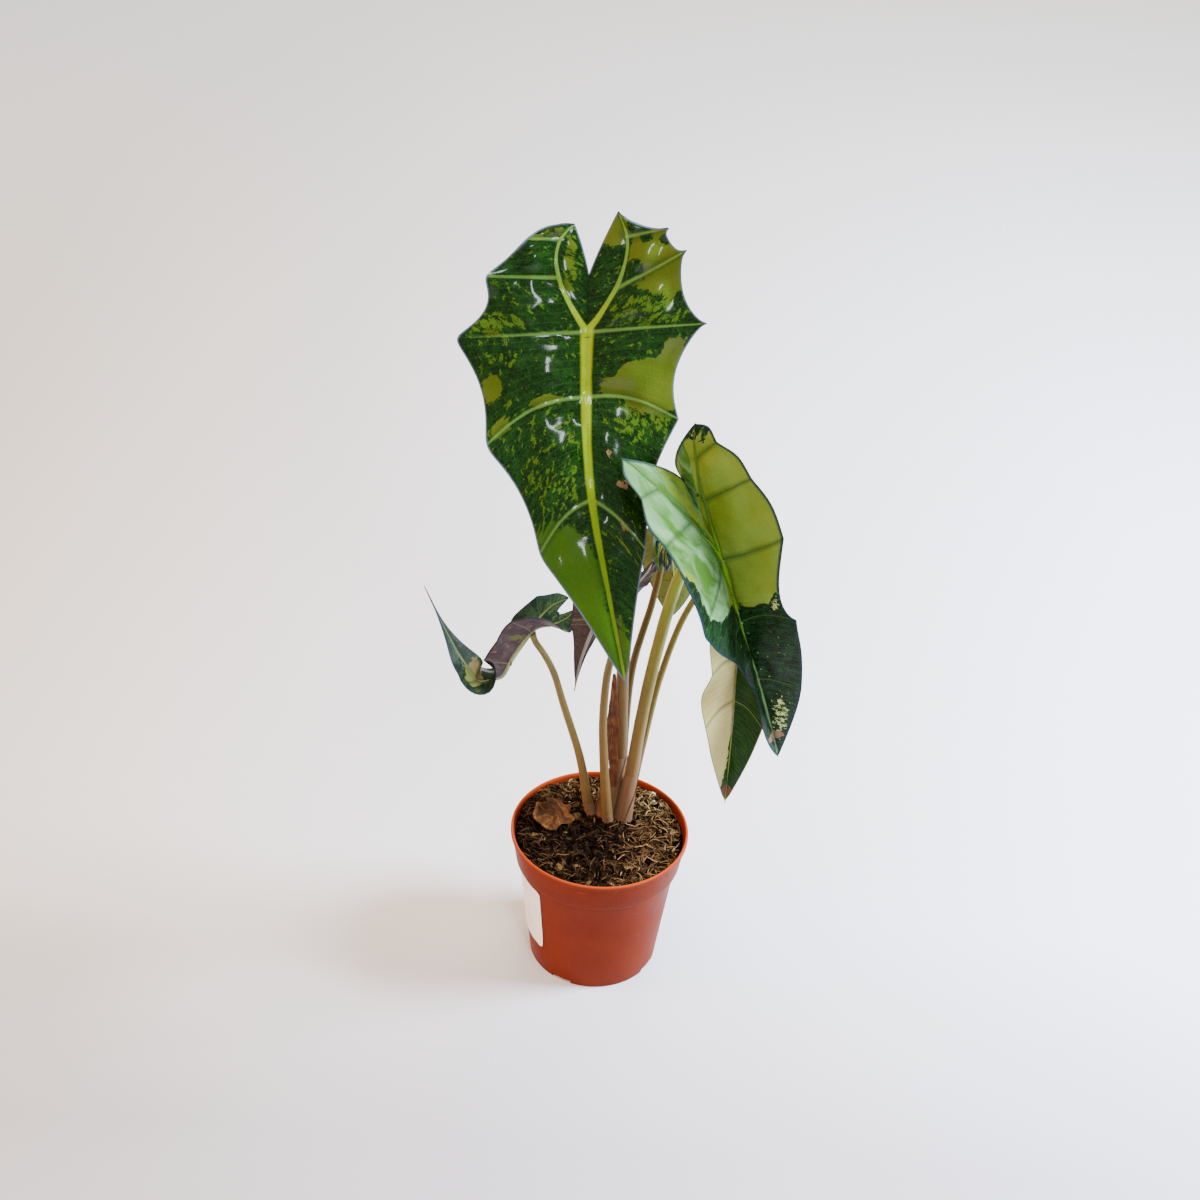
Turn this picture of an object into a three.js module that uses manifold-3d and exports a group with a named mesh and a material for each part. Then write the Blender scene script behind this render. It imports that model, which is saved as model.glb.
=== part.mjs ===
// A variegated alocasia in a small nursery pot: pot, label, soil, six leaf stalks, six leaf
// blades, a dry leaf sheath and a dead leaf on the soil.
// Millimetres, +Z up, the origin at the middle of the pot's base, the front towards -Y.

import * as THREE from 'three';
import { mergeVertices } from 'three/addons/utils/BufferGeometryUtils.js';
import Module from 'manifold-3d';

// Pot: rim and base radii, heights of the rim and of the collar's lower edge, and the wall
const RIM_RADIUS = 45;
const RIM_HEIGHT = 80;
const COLLAR_BOTTOM_RADIUS = 42;
const COLLAR_BOTTOM_HEIGHT = 62;
const WALL_TOP_RADIUS = 39.6;
const BASE_RADIUS = 32.7;
const WALL = 1.2;
const LIP_HEIGHT = 2.8;
const LIP_PROUD = 0.9;
const POT_SEGMENTS = 48;

// Pot base: a foot ring and a middle disc stand on the ground, with a raised channel between
const FOOT_RING_WIDTH = 5;
const CHANNEL_INNER_RADIUS = 18;
const CHANNEL_HEIGHT = 2.2;
const DRAIN_COUNT = 4;
const DRAIN_FIRST_ANGLE = 243;
const DRAIN_RADIUS = 3.4;
const NOTCH_WIDTH = 11;

// Label on the pot's left side: angles round the pot, and heights of its edges
const LABEL_FROM_ANGLE = 165;
const LABEL_TO_ANGLE = 225;
const LABEL_BOTTOM = 18;
const LABEL_TOP = 58;
const LABEL_THICKNESS = 0.4;

// Soil: mean level of its top, its slope up to the back left, the size of its lumps and crumbs,
// and its extra clearance from the pot's flat facets
const SOIL_LEVEL = 76.3;
const SOIL_RISE = 2.7;
const SOIL_RISE_ANGLE = 125;
const SOIL_LUMP = 2.6;
const SOIL_CRUMB = 1.6;
const FACET_PLAY = 0.2;
const SOIL_RINGS = 11;
const SOIL_SECTORS = 44;

// Crown: the clump of sheaths that carries the leaf stalks, in a plain oval hole in the soil
const CROWN_CENTRE = [4.5, 17];
const CROWN_RADIUS = 13.5;
const CROWN_FLATNESS = 0.815;
const CROWN_TOP = 75;
const CROWN_BOTTOM = 44;
const CROWN_SIDES = 24;

// Fit between neighbours, half the thickness of a blade, and the curl that counts as none
const GAP = 0.3;
const HALF_BLADE = 0.35;
const LEAST_CURL = 1e-4;

// Ribs under a blade: how far the midrib, the basal rib and a side vein stand out
const MIDRIB_DEPTH = 1.5;
const BASAL_RIB_DEPTH = 1.0;
const VEIN_DEPTH = 0.7;

// Blade grid: steps from one vein to the next, steps from the tip to the first vein, and
// columns from the rib to the margin. The two large leaves have the fine grid
const FINE_GRID = {
  span: [0, 0.1, 0.3, 0.5, 0.7, 0.9],
  tip: [0, 0.04, 0.1, 0.22, 0.4, 0.6, 0.8, 0.93],
  outer: [0, 0.08, 0.32, 0.56, 0.8, 1],
  inner: [0, 0.28, 0.64, 1],
};
const PLAIN_GRID = {
  span: [0, 0.14, 0.5, 0.86],
  tip: [0, 0.06, 0.15, 0.3, 0.5, 0.72, 0.9],
  outer: [0, 0.12, 0.4, 0.7, 1],
  inner: [0, 0.5, 1],
};

// The leaves. Flat sizes are measured on the blade laid out flat: along the midrib from the
// stalk (towards the tip positive, towards the lobes negative) and across from the midrib.
// spine: places along the midrib line from the lobes to the tip, each with the way the upper
// side faces, how many degrees the left and right halves fold up, and how many degrees they
// curl for each 10 mm. stalkKey: which of these places is over the stalk.
// veins: where the vein starts on the midrib (negative: on the basal rib) and where it ends.
// dips: the margin half way from one vein's end to the next, from the tip to the lobe's end.
const FRONT_LEAF = {
  stalkKey: 1,
  spine: [
    { at: [-20, -10, 422], facing: [0, -0.84, 0.54], fold: [12, 12], curl: [2, 2] },
    { at: [-19, -32, 378], facing: [0, -0.86, 0.5], fold: [14, 14], curl: [-4, -4] },
    { at: [-14, -60, 323], facing: [0, -0.88, 0.46], fold: [10, -2], curl: [-3, -6] },
    { at: [-1, -84, 274], facing: [-0.05, -0.92, 0.4], fold: [14, 8], curl: [-2, -4] },
    { at: [8, -96, 241], facing: [-0.1, -0.94, 0.3], fold: [14, 14], curl: [0, 0] },
  ],
  sinus: 24,
  drip: 0.16,
  quilt: 2.4,
  ripple: 1.6,
  left: {
    veins: [[70, 89, 26], [27, 46, 43], [0, 3, 56], [-19, -21, 45], [-38, -37, 28]],
    dips: [[120, 12], [66, 29], [25, 44], [-9, 42], [-28, 35], [-43, 18]],
    lobeTip: [-44, 7],
    ribMiddle: [-27, 14],
    innerMargin: [-34, 3],
  },
  right: {
    veins: [[70, 95, 19], [27, 37, 39], [0, -5, 49], [-17, -35, 40], [-41, -44, 32]],
    dips: [[120, 10], [66, 27], [15, 38], [-18, 40], [-38, 34], [-45, 21]],
    lobeTip: [-50, 11],
    ribMiddle: [-28, 15],
    innerMargin: [-37, 5],
  },
};

const RIGHT_LEAF = {
  stalkKey: 1,
  spine: [
    { at: [16.8, -44, 333], facing: [0.12, -0.88, 0.45], fold: [60, 48], curl: [0, 0] },
    { at: [45, -50, 281], facing: [0.16, -0.92, 0.32], fold: [60, 50], curl: [-4, -4] },
    { at: [57, -50, 245], facing: [0.24, -0.96, 0.14], fold: [54, 48], curl: [-2, -2] },
    { at: [69, -44, 207], facing: [0.42, -0.9, 0.05], fold: [44, 40], curl: [0, 0] },
    { at: [82, -32, 159], facing: [0.5, -0.86, -0.05], fold: [34, 30], curl: [0, 0] },
  ],
  sinus: 42,
  drip: 0.06,
  quilt: 1.4,
  ripple: 0.8,
  left: {
    veins: [[70, 80, 6], [34, 45, 15], [0, 18, 33], [-26, -33, 41], [-54, -60, 46]],
    dips: [[105.5, 6.5], [62, 8], [33, 23], [-5, 33], [-46, 45], [-72, 47]],
    lobeTip: [-79, 44],
    ribMiddle: [-45, 21],
    innerMargin: [-57, 14],
  },
  right: {
    veins: [[70, 76, 20], [34, 27, 31], [0, -9, 36], [-28, -37, 35], [-50, -58, 28]],
    dips: [[103.5, 10.5], [48, 27], [15, 25], [-23, 36.5], [-48, 33], [-65, 26]],
    lobeTip: [-68, 21],
    ribMiddle: [-38, 8],
    innerMargin: [-54, 3],
  },
};

const HANGING_HALF = {
  veins: [[58, 68, 16], [34, 40, 14], [0, 4, 13], [-9, -12, 12], [-18, -20, 9]],
  dips: [[98, 8], [54, 17], [22, 15], [-4, 13], [-17, 12], [-24, 8]],
  lobeTip: [-25, 5],
  ribMiddle: [-13, 5],
  innerMargin: [-17, 2],
};

const HANGING_LEAF = {
  stalkKey: 1,
  spine: [
    { at: [62, 2, 254], facing: [0.1, -0.8, 0.5], fold: [20, 24], curl: [0, 0] },
    { at: [60, -8, 237], facing: [0.1, -0.92, 0.35], fold: [24, 28], curl: [-3, -3] },
    { at: [59, -16, 201], facing: [0.12, -0.98, 0.15], fold: [24, 30], curl: [-3, -3] },
    { at: [60, -18, 159], facing: [0.1, -1, 0.05], fold: [24, 30], curl: [0, 0] },
    { at: [60.5, -15, 114], facing: [0.1, -1, 0], fold: [24, 30], curl: [0, 0] },
  ],
  sinus: 10,
  drip: 0.12,
  quilt: 1.0,
  ripple: 1.0,
  left: HANGING_HALF,
  right: HANGING_HALF,
};

// Two small leaves share one flat outline, scaled in length and, left and right, in width
const SMALL_HALF = {
  veins: [[42, 50, 13], [19, 26, 20], [0, 3, 23], [-9, -14, 20], [-19, -24, 14]],
  dips: [[72, 6], [37, 15], [13, 19], [-5, 20], [-19, 17], [-28, 10]],
  lobeTip: [-29, 5],
  ribMiddle: [-15, 7],
  innerMargin: [-20, 2],
};

const LEFT_LEAF = {
  stalkKey: 2,
  spine: [
    { at: [-20, 10, 210], facing: [-0.1, 0.1, 1], fold: [50, -30], curl: [0, 0] },
    { at: [-31, -3, 208.6], facing: [-0.1, 0.2, 1], fold: [46, -15], curl: [0, 0] },
    { at: [-38, -11, 207], facing: [-0.15, 0.3, 0.95], fold: [24, 58], curl: [0, 0] },
    { at: [-45, -17, 198], facing: [-0.35, 0.45, 0.8], fold: [5, 68], curl: [0, 0] },
    { at: [-52, -22, 187], facing: [-0.3, 0.3, 0.9], fold: [10, 62], curl: [0, 0] },
    { at: [-60, -26, 187], facing: [0.2, -0.2, 0.95], fold: [15, 20], curl: [0, 0] },
    { at: [-68, -29, 200], facing: [0.45, -0.65, 0.6], fold: [12, 12], curl: [0, 0] },
    { at: [-75, -32, 217], facing: [0.5, -0.8, 0.3], fold: [10, 10], curl: [0, 0] },
    { at: [-86, -36, 247], facing: [0.5, -0.8, 0.3], fold: [0, 0], curl: [0, 0] },
  ],
  length: 0.95,
  widths: [0.62, 0.62],
  sinus: 19,
  drip: 0.8,
  quilt: 0.7,
  ripple: 0.6,
};

const BACK_LEAF = {
  stalkKey: 1,
  spine: [
    { at: [20, -40, 283], facing: [-0.2, 0.9, 0.38], fold: [16, 16], curl: [0, 0] },
    { at: [5, -26, 245], facing: [-0.2, 0.9, 0.38], fold: [16, 16], curl: [0, 0] },
    { at: [-6, -17.5, 223], facing: [-0.2, 0.9, 0.38], fold: [18, 18], curl: [0, 0] },
    { at: [-13, -6, 194], facing: [-0.2, 0.9, 0.38], fold: [20, 20], curl: [0, 0] },
    { at: [-17, 10, 158], facing: [-0.2, 0.9, 0.38], fold: [30, 30], curl: [0, 0] },
  ],
  length: 0.8,
  widths: [0.48, 0.85],
  sinus: 10,
  drip: 0.2,
  quilt: 0.6,
  ripple: 0.8,
};

// The rear leaf's lobes are narrow flaps that hang over in front of its stalk
const REAR_HALF = {
  veins: [[36, 42, 12], [18, 26, 15], [0, 6, 13], [-12, -14, 5], [-20, -22, 4.6]],
  dips: [[56, 5.5], [34, 14.5], [17, 15.5], [-4, 7.5], [-18, 5], [-26, 4]],
  lobeTip: [-28, 1.5],
  ribMiddle: [-13, 1.6],
  innerMargin: [-26, 0.8],
};

const REAR_LEAF = {
  stalkKey: 3,
  spine: [
    { at: [21.5, 13, 229.6], facing: [0, -0.95, 0.1], fold: [0, 0], curl: [0, 0] },
    { at: [20.8, 13.5, 241], facing: [0, -0.8, 0.6], fold: [0, 0], curl: [0, 0] },
    { at: [22, 19, 248], facing: [0, 0.1, 1], fold: [5, 5], curl: [0, 0] },
    { at: [23, 26, 244], facing: [0, 0.85, 0.5], fold: [10, 10], curl: [0, 0] },
    { at: [27, 34, 215], facing: [0, 0.9, 0.35], fold: [15, 15], curl: [0, 0] },
    { at: [28.5, 42, 184], facing: [0, 0.9, 0.35], fold: [20, 20], curl: [0, 0] },
  ],
  sinus: 24,
  drip: 0.1,
  quilt: 0.6,
  ripple: 0.5,
  left: REAR_HALF,
  right: REAR_HALF,
};

// Leaf stalks: the leaf that each carries, its sheath in the crown (where it starts in the
// crown, and its radius there), its route up from the sheath, and its radius at the foot, half
// way and at the blade
const STALKS = [
  {
    name: 'front_stalk',
    leaf: FRONT_LEAF,
    sheath: [3.5, 18, 72],
    sheathRadius: 8.4,
    route: [[8, 18, 113], [6, 10, 175], [4, 2, 232], [-8, -14, 311], [-15, -24, 356]],
    radii: [3.2, 2.9, 2.4],
  },
  {
    name: 'right_stalk',
    leaf: RIGHT_LEAF,
    sheath: [10.2, 14, 70],
    sheathRadius: 5.8,
    route: [
      [14.2, 11, 108], [16.5, 8.8, 140], [20, 3, 178], [26, -8, 228], [31, -19, 256], [38, -32, 272],
    ],
    radii: [3.4, 3.0, 2.6],
  },
  {
    name: 'hanging_stalk',
    leaf: HANGING_LEAF,
    sheath: [13, 18.5, 70],
    sheathRadius: 3.2,
    route: [
      [15, 19.5, 88], [19.5, 18.5, 126], [25, 15, 168], [34, 8, 210], [42, 2, 230], [51, -1, 238],
      [57, -3, 239],
    ],
    radii: [2.0, 1.7, 1.5],
  },
  {
    name: 'left_stalk',
    leaf: LEFT_LEAF,
    sheath: [-1.5, 15, 62],
    sheathRadius: 3.6,
    route: [
      [-7, 15, 84], [-12, 12, 114], [-22.2, 4, 156], [-26.9, -1, 176.4], [-31.5, -5.5, 190],
      [-36, -9.6, 200.5],
    ],
    radii: [2.7, 1.9, 1.5],
  },
  {
    name: 'back_stalk',
    leaf: BACK_LEAF,
    sheath: [5, 10.5, 70],
    sheathRadius: 3.6,
    route: [
      [3.2, 9, 83], [0.5, 6, 112], [-1.8, 0, 148], [-1.3, -8, 182], [0.8, -18, 204],
      [2.8, -28, 228], [4.6, -30.5, 240],
    ],
    radii: [2.9, 2.0, 1.6],
  },
  {
    name: 'rear_stalk',
    leaf: REAR_LEAF,
    sheath: [9.5, 23.5, 70],
    sheathRadius: 3.4,
    route: [[10, 25, 88], [9.5, 27, 120], [11, 24, 165], [18, 21, 206], [21, 21, 228]],
    radii: [2.4, 1.9, 1.6],
  },
];

const STALK_SIDES = 10;
const STALK_STEPS = 16;

// Dry sheath: a papery strip, its route up from the crown, its width along it, how hollow it is
const SHEATH_ROUTE = [[6, 12.1, 97], [4.6, 12.2, 112], [3.2, 12, 130], [2.8, 9.5, 151], [2.2, 7, 172]];
const SHEATH_WIDTHS = [2, 4.6, 6, 4, 1.2];
const SHEATH_HALF_THICKNESS = 0.33;
const SHEATH_HOLLOW = 1.2;

// Dead leaf on the soil: its middle, half its length and width, and how far its edge curls up
const DEAD_LEAF_CENTRE = [-26, 6];
const DEAD_LEAF_SIZE = [13, 10];
const DEAD_LEAF_TURN = 35;
const DEAD_LEAF_CURL = 4.2;

const wasm = await Module();
wasm.setup();

// Steady noise: the same numbers on each run
function hash(i, j) {
  const s = Math.sin(i * 127.1 + j * 311.7) * 43758.5453;
  return s - Math.floor(s);
}

function smoothNoise(x, y) {
  const i = Math.floor(x);
  const j = Math.floor(y);
  const fx = x - i;
  const fy = y - j;
  const sx = fx * fx * (3 - 2 * fx);
  const sy = fy * fy * (3 - 2 * fy);
  const near = hash(i, j) * (1 - sx) + hash(i + 1, j) * sx;
  const far = hash(i, j + 1) * (1 - sx) + hash(i + 1, j + 1) * sx;
  return near * (1 - sy) + far * sy;
}

function mix(a, b, t) {
  return a + (b - a) * t;
}

function mixPoint(a, b, t) {
  return a.map((value, axis) => mix(value, b[axis], t));
}

// A quadratic through its middle point
function arc(from, middle, to, t) {
  const control = middle.map((value, axis) => 2 * value - (from[axis] + to[axis]) / 2);
  return mixPoint(mixPoint(from, control, t), mixPoint(control, to, t), t);
}

function geometryFrom(points, triangles) {
  const geometry = new THREE.BufferGeometry();
  geometry.setAttribute('position', new THREE.Float32BufferAttribute(points.flat(), 3));
  geometry.setIndex(triangles.flat());
  return geometry;
}

function toSolid(geometry) {
  const bare = geometry.clone();
  bare.deleteAttribute('normal');
  bare.deleteAttribute('uv');
  const merged = mergeVertices(bare, 1e-4);
  const mesh = new wasm.Mesh({
    numProp: 3,
    vertProperties: new Float32Array(merged.attributes.position.array),
    triVerts: new Uint32Array(merged.index.array),
  });
  return new wasm.Manifold(mesh);
}

function fromSolid(solid) {
  const mesh = solid.getMesh();
  const geometry = new THREE.BufferGeometry();
  geometry.setAttribute('position', new THREE.BufferAttribute(mesh.vertProperties, 3));
  geometry.setIndex(new THREE.BufferAttribute(mesh.triVerts, 1));
  return geometry;
}

function makeMesh(name, geometry, colour, roughness) {
  const material = new THREE.MeshStandardMaterial({ color: colour, roughness, metalness: 0 });
  const mesh = new THREE.Mesh(geometry, material);
  mesh.name = name;
  return mesh;
}

// A cubic through the values at the knots, straight beyond both ends
function hermite(knots, values, x) {
  const last = knots.length - 1;
  const slope = (i, j) => {
    const step = knots[j] - knots[i];
    return values[i].map((value, axis) => (values[j][axis] - value) / step);
  };
  const tangent = (i) => {
    if (i === 0) return slope(0, 1);
    if (i === last) return slope(last - 1, last);
    const weight = (knots[i] - knots[i - 1]) / (knots[i + 1] - knots[i - 1]);
    return mixPoint(slope(i - 1, i), slope(i, i + 1), weight);
  };
  if (x <= knots[0] || x >= knots[last]) {
    const end = x <= knots[0] ? 0 : last;
    return values[end].map((value, axis) => value + tangent(end)[axis] * (x - knots[end]));
  }
  const i = knots.findIndex((knot) => knot > x) - 1;
  const h = knots[i + 1] - knots[i];
  const t = (x - knots[i]) / h;
  const start = tangent(i);
  const end = tangent(i + 1);
  return values[i].map((value, axis) => value * (2 * t ** 3 - 3 * t ** 2 + 1)
    + start[axis] * h * (t ** 3 - 2 * t ** 2 + t)
    + values[i + 1][axis] * (3 * t ** 2 - 2 * t ** 3)
    + end[axis] * h * (t ** 3 - t ** 2));
}

// Distances along the spine from the stalk, measured over its places
function spineKnots(leaf) {
  const places = leaf.spine.map((key) => new THREE.Vector3(...key.at));
  const lengths = [0];
  for (let i = 1; i < places.length; i += 1) {
    lengths.push(lengths[i - 1] + places[i].distanceTo(places[i - 1]));
  }
  return lengths.map((length) => length - lengths[leaf.stalkKey]);
}

// The values of one of the spine's columns at a distance from the stalk
function alongSpine(leaf, column, u) {
  return hermite(leaf.knots, leaf.spine.map((key) => key[column]), u);
}

// The midrib's place at a distance from the stalk, the way it runs and the way it faces
function spineFrame(leaf, u) {
  const inside = Math.min(Math.max(u, leaf.knots[0]), leaf.tip);
  const point = new THREE.Vector3(...alongSpine(leaf, 'at', u));
  const ahead = new THREE.Vector3(...alongSpine(leaf, 'at', u + 0.5));
  const behind = new THREE.Vector3(...alongSpine(leaf, 'at', u - 0.5));
  const along = ahead.sub(behind).normalize();
  const normal = new THREE.Vector3(...alongSpine(leaf, 'facing', inside));
  normal.addScaledVector(along, -normal.dot(along)).normalize();
  return { point, along, normal, inside };
}

// Where a flat place on the blade lies in space
function placeOnBlade(leaf, u, v, lift) {
  const { point, along, normal, inside } = spineFrame(leaf, u);
  const across = new THREE.Vector3().crossVectors(normal, along);
  const side = v < 0 ? 0 : 1;
  const sign = v < 0 ? -1 : 1;
  const distance = Math.abs(v);
  const radians = THREE.MathUtils.degToRad;
  const fold = radians(alongSpine(leaf, 'fold', inside)[side]);
  const bend = radians(alongSpine(leaf, 'curl', inside)[side]) / 10;
  const curl = Math.abs(bend) < LEAST_CURL ? LEAST_CURL : bend;
  const angle = fold + curl * distance;
  const sideways = (Math.sin(angle) - Math.sin(fold)) / curl;
  const upwards = (Math.cos(fold) - Math.cos(angle)) / curl;
  point.addScaledVector(across, sign * (sideways - lift * Math.sin(angle)));
  point.addScaledVector(normal, upwards + lift * Math.cos(angle));
  return point;
}

// Start of a vein: on the midrib for a positive distance, on the basal rib for a negative one
function rootPoint(half, distance) {
  if (distance >= 0) return [distance, 0];
  return arc([0, 0], half.ribMiddle, half.lobeTip, -distance / half.ribLength);
}

// The tip is drawn out: its width is cut down over the first part of the margin
function dripWidth(leaf, w) {
  const t = Math.min(w / leaf.drip, 1);
  return 0.14 + 0.86 * t * t * (3 - 2 * t);
}

// The rows of one half from the tip to the lobe's end: each runs from the rib to the margin
function outerRows(leaf, half) {
  const ends = [
    { root: leaf.tip, end: [leaf.tip, 0] },
    ...half.veins.map(([root, u, v]) => ({ root, end: [u, v] })),
    { root: -half.ribLength, end: half.lobeTip },
  ];
  const rows = [];
  for (let span = 0; span < ends.length - 1; span += 1) {
    const from = ends[span];
    const to = ends[span + 1];
    for (const w of span === 0 ? leaf.grid.tip : leaf.grid.span) {
      const margin = arc(from.end, half.dips[span], to.end, w);
      if (span === 0) margin[1] *= dripWidth(leaf, w);
      rows.push({
        root: mix(from.root, to.root, w),
        margin,
        w,
        vein: w === 0 && span > 0 ? 1 : 0,
        firstSpan: span === 0,
      });
    }
  }
  rows.push({ root: -half.ribLength, margin: half.lobeTip, w: 0, vein: 1, firstSpan: false });
  return rows;
}

// How far the rib stands out under the blade at a place along it
function ribDepth(leaf, half, root) {
  if (root >= 0) return MIDRIB_DEPTH * (1 - 0.8 * root / leaf.tip) * leaf.stoutness;
  const along = -root / half.ribLength;
  return BASAL_RIB_DEPTH * (1 + 0.5 * (1 - along) ** 2 - 0.7 * along) * leaf.stoutness;
}

// A sheet: flat places, each once, with its thickness on both sides, and its triangles
function newSheet() {
  return { places: [], known: new Map(), triangles: [] };
}

function addPlace(sheet, u, v, lift, above, below) {
  const key = `${Math.round(u * 500)},${Math.round(v * 500)}`;
  if (!sheet.known.has(key)) {
    sheet.known.set(key, sheet.places.length);
    sheet.places.push({ u, v, lift, above, below });
  }
  return sheet.known.get(key);
}

// Triangles over a grid of places; rows that meet in one place leave no empty triangles
function fillGrid(sheet, grid, flip) {
  for (let i = 0; i < grid.length - 1; i += 1) {
    for (let j = 0; j < grid[i].length - 1; j += 1) {
      const corners = [grid[i][j], grid[i][j + 1], grid[i + 1][j + 1], grid[i + 1][j]];
      for (const [a, b, c] of [[0, 1, 2], [0, 2, 3]]) {
        const triangle = [corners[a], corners[b], corners[c]];
        if (new Set(triangle).size === 3) sheet.triangles.push(flip ? triangle.reverse() : triangle);
      }
    }
  }
}

// One half of the blade, side 1 for the right and -1 for the left
function addHalf(sheet, leaf, half, side) {
  const rows = outerRows(leaf, half);
  const outer = rows.map((row) => {
    const root = rootPoint(half, row.root);
    return leaf.grid.outer.map((t) => {
      const [u, v] = mixPoint(root, row.margin, t);
      const between = Math.sin(Math.PI * row.w) ** 2;
      const bulge = row.firstSpan ? 0.5 * leaf.quilt * between : leaf.quilt * between;
      const wave = row.firstSpan ? 0 : leaf.ripple * Math.cos(2 * Math.PI * row.w) * t ** 3;
      const lift = bulge * Math.sin(Math.PI * Math.min(t * 1.15, 1)) + wave;
      const vein = row.vein * VEIN_DEPTH * (1 - t) * leaf.stoutness;
      const rib = t === 0 ? ribDepth(leaf, half, row.root) : vein;
      return addPlace(sheet, u, side * v, lift, HALF_BLADE + 0.25 * rib, HALF_BLADE + rib);
    });
  });
  fillGrid(sheet, outer, side < 0);
  const basal = rows.filter((row) => row.root <= 0);
  const last = basal.length - 1;
  const sinusRow = Math.round(last / 2);
  const inner = basal.map((row, i) => {
    const root = rootPoint(half, row.root);
    const sinus = [-leaf.sinus, 0];
    const inwards = i <= sinusRow
      ? mixPoint([0, 0], sinus, i / sinusRow)
      : arc(sinus, half.innerMargin, half.lobeTip, (i - sinusRow) / (last - sinusRow));
    return leaf.grid.inner.map((t) => {
      const [u, v] = mixPoint(root, inwards, t);
      const rib = t === 0 ? ribDepth(leaf, half, row.root) : 0;
      const lift = 0.5 * leaf.quilt * Math.sin(Math.PI * t) * Math.sin(Math.PI * i / last);
      return addPlace(sheet, u, side * v, lift, HALF_BLADE + 0.25 * rib, HALF_BLADE + rib);
    });
  });
  fillGrid(sheet, inner, side > 0);
}

// A closed body from a sheet: both faces have the same triangles, joined round the edge
function thicken(places, triangles) {
  const normals = places.map(() => new THREE.Vector3());
  for (const [a, b, c] of triangles) {
    const ab = places[b].point.clone().sub(places[a].point);
    const ac = places[c].point.clone().sub(places[a].point);
    const normal = ab.cross(ac);
    for (const corner of [a, b, c]) normals[corner].add(normal);
  }
  const away = (place, i, distance) => place.point.clone().addScaledVector(normals[i], distance);
  for (const normal of normals) normal.normalize();
  const upper = places.map((place, i) => away(place, i, place.above));
  const lower = places.map((place, i) => away(place, i, -place.below));
  const count = places.length;
  const faces = [];
  const edges = new Map();
  for (const [a, b, c] of triangles) {
    faces.push([a, b, c], [c + count, b + count, a + count]);
    for (const [from, to] of [[a, b], [b, c], [c, a]]) edges.set(`${from},${to}`, [from, to]);
  }
  for (const [from, to] of edges.values()) {
    if (!edges.has(`${to},${from}`)) {
      faces.push([from, from + count, to + count], [from, to + count, to]);
    }
  }
  return geometryFrom([...upper, ...lower].map((point) => point.toArray()), faces);
}

function makeBlade(leaf) {
  const sheet = newSheet();
  addHalf(sheet, leaf, leaf.left, -1);
  addHalf(sheet, leaf, leaf.right, 1);
  for (const place of sheet.places) place.point = placeOnBlade(leaf, place.u, place.v, place.lift);
  return thicken(sheet.places, sheet.triangles);
}

// A half of the small outline at a leaf's own length and width
function smallHalf(leaf, width) {
  const scale = ([u, v]) => [u * leaf.length, v * width];
  return {
    veins: SMALL_HALF.veins.map(([root, u, v]) => [root * leaf.length, ...scale([u, v])]),
    dips: SMALL_HALF.dips.map(scale),
    lobeTip: scale(SMALL_HALF.lobeTip),
    ribMiddle: scale(SMALL_HALF.ribMiddle),
    innerMargin: scale(SMALL_HALF.innerMargin),
  };
}

// Fills in what follows from a leaf's description
function completeLeaf(leaf, grid, stoutness) {
  leaf.grid = grid;
  leaf.stoutness = stoutness;
  leaf.knots = spineKnots(leaf);
  leaf.tip = leaf.knots[leaf.knots.length - 1];
  if (!leaf.left) {
    [leaf.left, leaf.right] = leaf.widths.map((width) => smallHalf(leaf, width));
  }
  for (const half of [leaf.left, leaf.right]) {
    half.ribLength = Math.hypot(...half.ribMiddle)
      + Math.hypot(half.lobeTip[0] - half.ribMiddle[0], half.lobeTip[1] - half.ribMiddle[1]);
  }
}

// A tapered round stalk along a route. Each end is cut off along a plane
function makeStalk(route, radii, startNormal, endNormal, steps) {
  const curve = new THREE.CatmullRomCurve3(route.map((place) => new THREE.Vector3(...place)));
  const frames = curve.computeFrenetFrames(steps, false);
  const points = [];
  for (let i = 0; i <= steps; i += 1) {
    const t = i / steps;
    const centre = curve.getPointAt(t);
    const lowerHalf = mix(radii[0], radii[1], 1 - (1 - 2 * t) ** 2);
    const radius = t < 0.5 ? lowerHalf : mix(radii[1], radii[2], 2 * t - 1);
    const cut = { 0: startNormal, [steps]: endNormal }[i];
    for (let j = 0; j < STALK_SIDES; j += 1) {
      const angle = (2 * Math.PI * j) / STALK_SIDES;
      const offset = new THREE.Vector3()
        .addScaledVector(frames.normals[i], radius * Math.cos(angle))
        .addScaledVector(frames.binormals[i], radius * Math.sin(angle));
      if (cut) {
        const tangent = frames.tangents[i];
        offset.addScaledVector(tangent, -offset.dot(cut) / tangent.dot(cut));
      }
      points.push(centre.clone().add(offset).toArray());
    }
  }
  const faces = [];
  for (let i = 0; i < steps; i += 1) {
    for (let j = 0; j < STALK_SIDES; j += 1) {
      const next = (j + 1) % STALK_SIDES;
      const a = i * STALK_SIDES + j;
      const b = i * STALK_SIDES + next;
      const c = (i + 1) * STALK_SIDES + next;
      const d = (i + 1) * STALK_SIDES + j;
      faces.push([a, b, c], [a, c, d]);
    }
  }
  for (let j = 1; j < STALK_SIDES - 1; j += 1) {
    const top = steps * STALK_SIDES;
    faces.push([0, j + 1, j], [top, top + j, top + j + 1]);
  }
  return geometryFrom(points, faces);
}

// Where the stalk meets the underside of its blade
function seatUnderBlade(leaf) {
  const { point, normal } = spineFrame(leaf, 0);
  const depth = HALF_BLADE + ribDepth(leaf, leaf.left, 0) + GAP;
  return { point: point.addScaledVector(normal, -depth), normal };
}

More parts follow.
